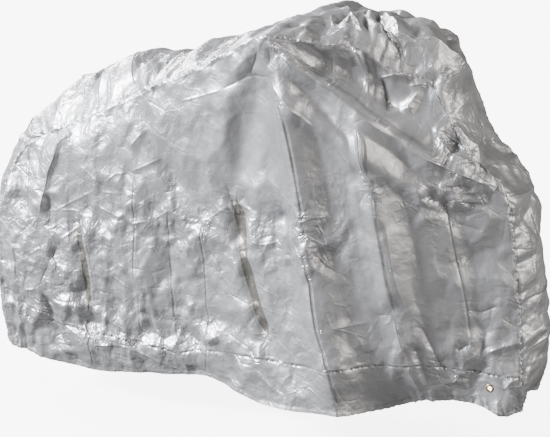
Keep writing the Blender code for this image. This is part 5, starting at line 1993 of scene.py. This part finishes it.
# %% Stitches along a line
def stitch_lines(name, lines, seed):
    """Stitches along lines of (points, outward directions), as one plain mesh."""
    data = bpy.data.meshes.new(name)
    points = np.concatenate([line for line, _ in lines])
    outward = np.concatenate([way for _, way in lines])
    edges, start = [], 0
    for line, _ in lines:
        edges += [(start + step, start + step + 1) for step in range(len(line) - 1)]
        start += len(line)
    data.from_pydata(points.tolist(), edges, [])
    attribute = data.attributes.new("outward", "FLOAT_VECTOR", "POINT")
    attribute.data.foreach_set("vector", outward.reshape(-1))
    piece = bpy.data.objects.new(name, data)
    bpy.context.scene.collection.objects.link(piece)
    sewing = piece.modifiers.new("sewing", "NODES")
    sewing.node_group = STITCH_TREE
    values = {"Pitch": STITCH_PITCH, "Seed": seed, "Stitch": bead, "Thread": thread}
    for socket in STITCH_TREE.interface.items_tree:
        if socket.in_out == "INPUT" and socket.name in values:
            sewing[socket.identifier] = values[socket.name]
    apply_modifiers(piece)
    return piece


# %% Where the seams are stitched
BESIDE = 2
HEM_ROW = 3
ALL = slice(None)


def line_on(cloth, normals, rows, columns):
    """A line of grid points on a net, with its outward directions."""
    outward = normals[rows, columns]
    return cloth[rows, columns] + outward * STITCH_LIFT, outward


def rows_of_seams(cloth, normals):
    """Beside the top seam, both end seams and the low seam, and along the hem."""
    return [
        line_on(cloth, normals, -1 - BESIDE, ALL),
        line_on(cloth, normals, ALL, BESIDE),
        line_on(cloth, normals, ALL, -1 - BESIDE),
        line_on(cloth, normals, BAND_ROWS + BESIDE, ALL),
        line_on(cloth, normals, HEM_ROW, ALL),
    ]


stitches = {
    "stitches_near": stitch_lines("stitches_near", rows_of_seams(near_cloth, near_normals), 1),
    "stitches_far": stitch_lines("stitches_far", rows_of_seams(far_cloth, far_normals), 2),
    "stitches_strip": stitch_lines("stitches_strip", [
        line_on(strip_cloth, strip_normals, ALL, BESIDE),
        line_on(strip_cloth, strip_normals, ALL, -1 - BESIDE),
    ], 3),
}
bpy.data.objects.remove(bead, do_unlink=True)
for piece in stitches.values():
    print(piece.name, len(piece.data.polygons), "faces")

# %% [markdown]
# ## Putting the sheets in place
#
# Each sheet stands for one piece of the plain model, which is hidden. Nothing moves, so
# all of them ride on the one body.

# %% What each piece stands for
Sheet = namedtuple("Sheet", "name node slot flat area extras")
STANDS_FOR = [Sheet(*row) for row in (
    ("strip_sheet", "top_strip", "top_strip_cloth", (3.36, 0.6), 1.12, ["stitches_strip"]),
    ("side_near_sheet", "side_near", "side_cloth", (1.78, 0.98), 1.46, ["stitches_near"]),
    ("side_far_sheet", "side_far", "side_cloth", (1.78, 0.98), 1.46, ["stitches_far"]),
    ("band_near_sheet", "band_near", "band_cloth", (1.78, 0.15), 0.235, ["eyelet_near_ring"]),
    ("band_far_sheet", "band_far", "band_cloth", (1.78, 0.15), 0.235, ["eyelet_far_ring"]),
)]
for name, node, slot, flat, area, extras in STANDS_FOR:
    piece = sheets[name]
    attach(piece, "root")
    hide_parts(node)
for name, node in (("eyelet_near_ring", "eyelet_near"), ("eyelet_far_ring", "eyelet_far")):
    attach(eyelets[name], "root")
    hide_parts(node)
for name, slot in (("stitches_near", "side_cloth"), ("stitches_far", "side_cloth"),
                   ("stitches_strip", "top_strip_cloth")):
    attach(stitches[name], "root")
print(len(STANDS_FOR), "sheets,", len(eyelets), "rings and", len(stitches), "rows of stitches")
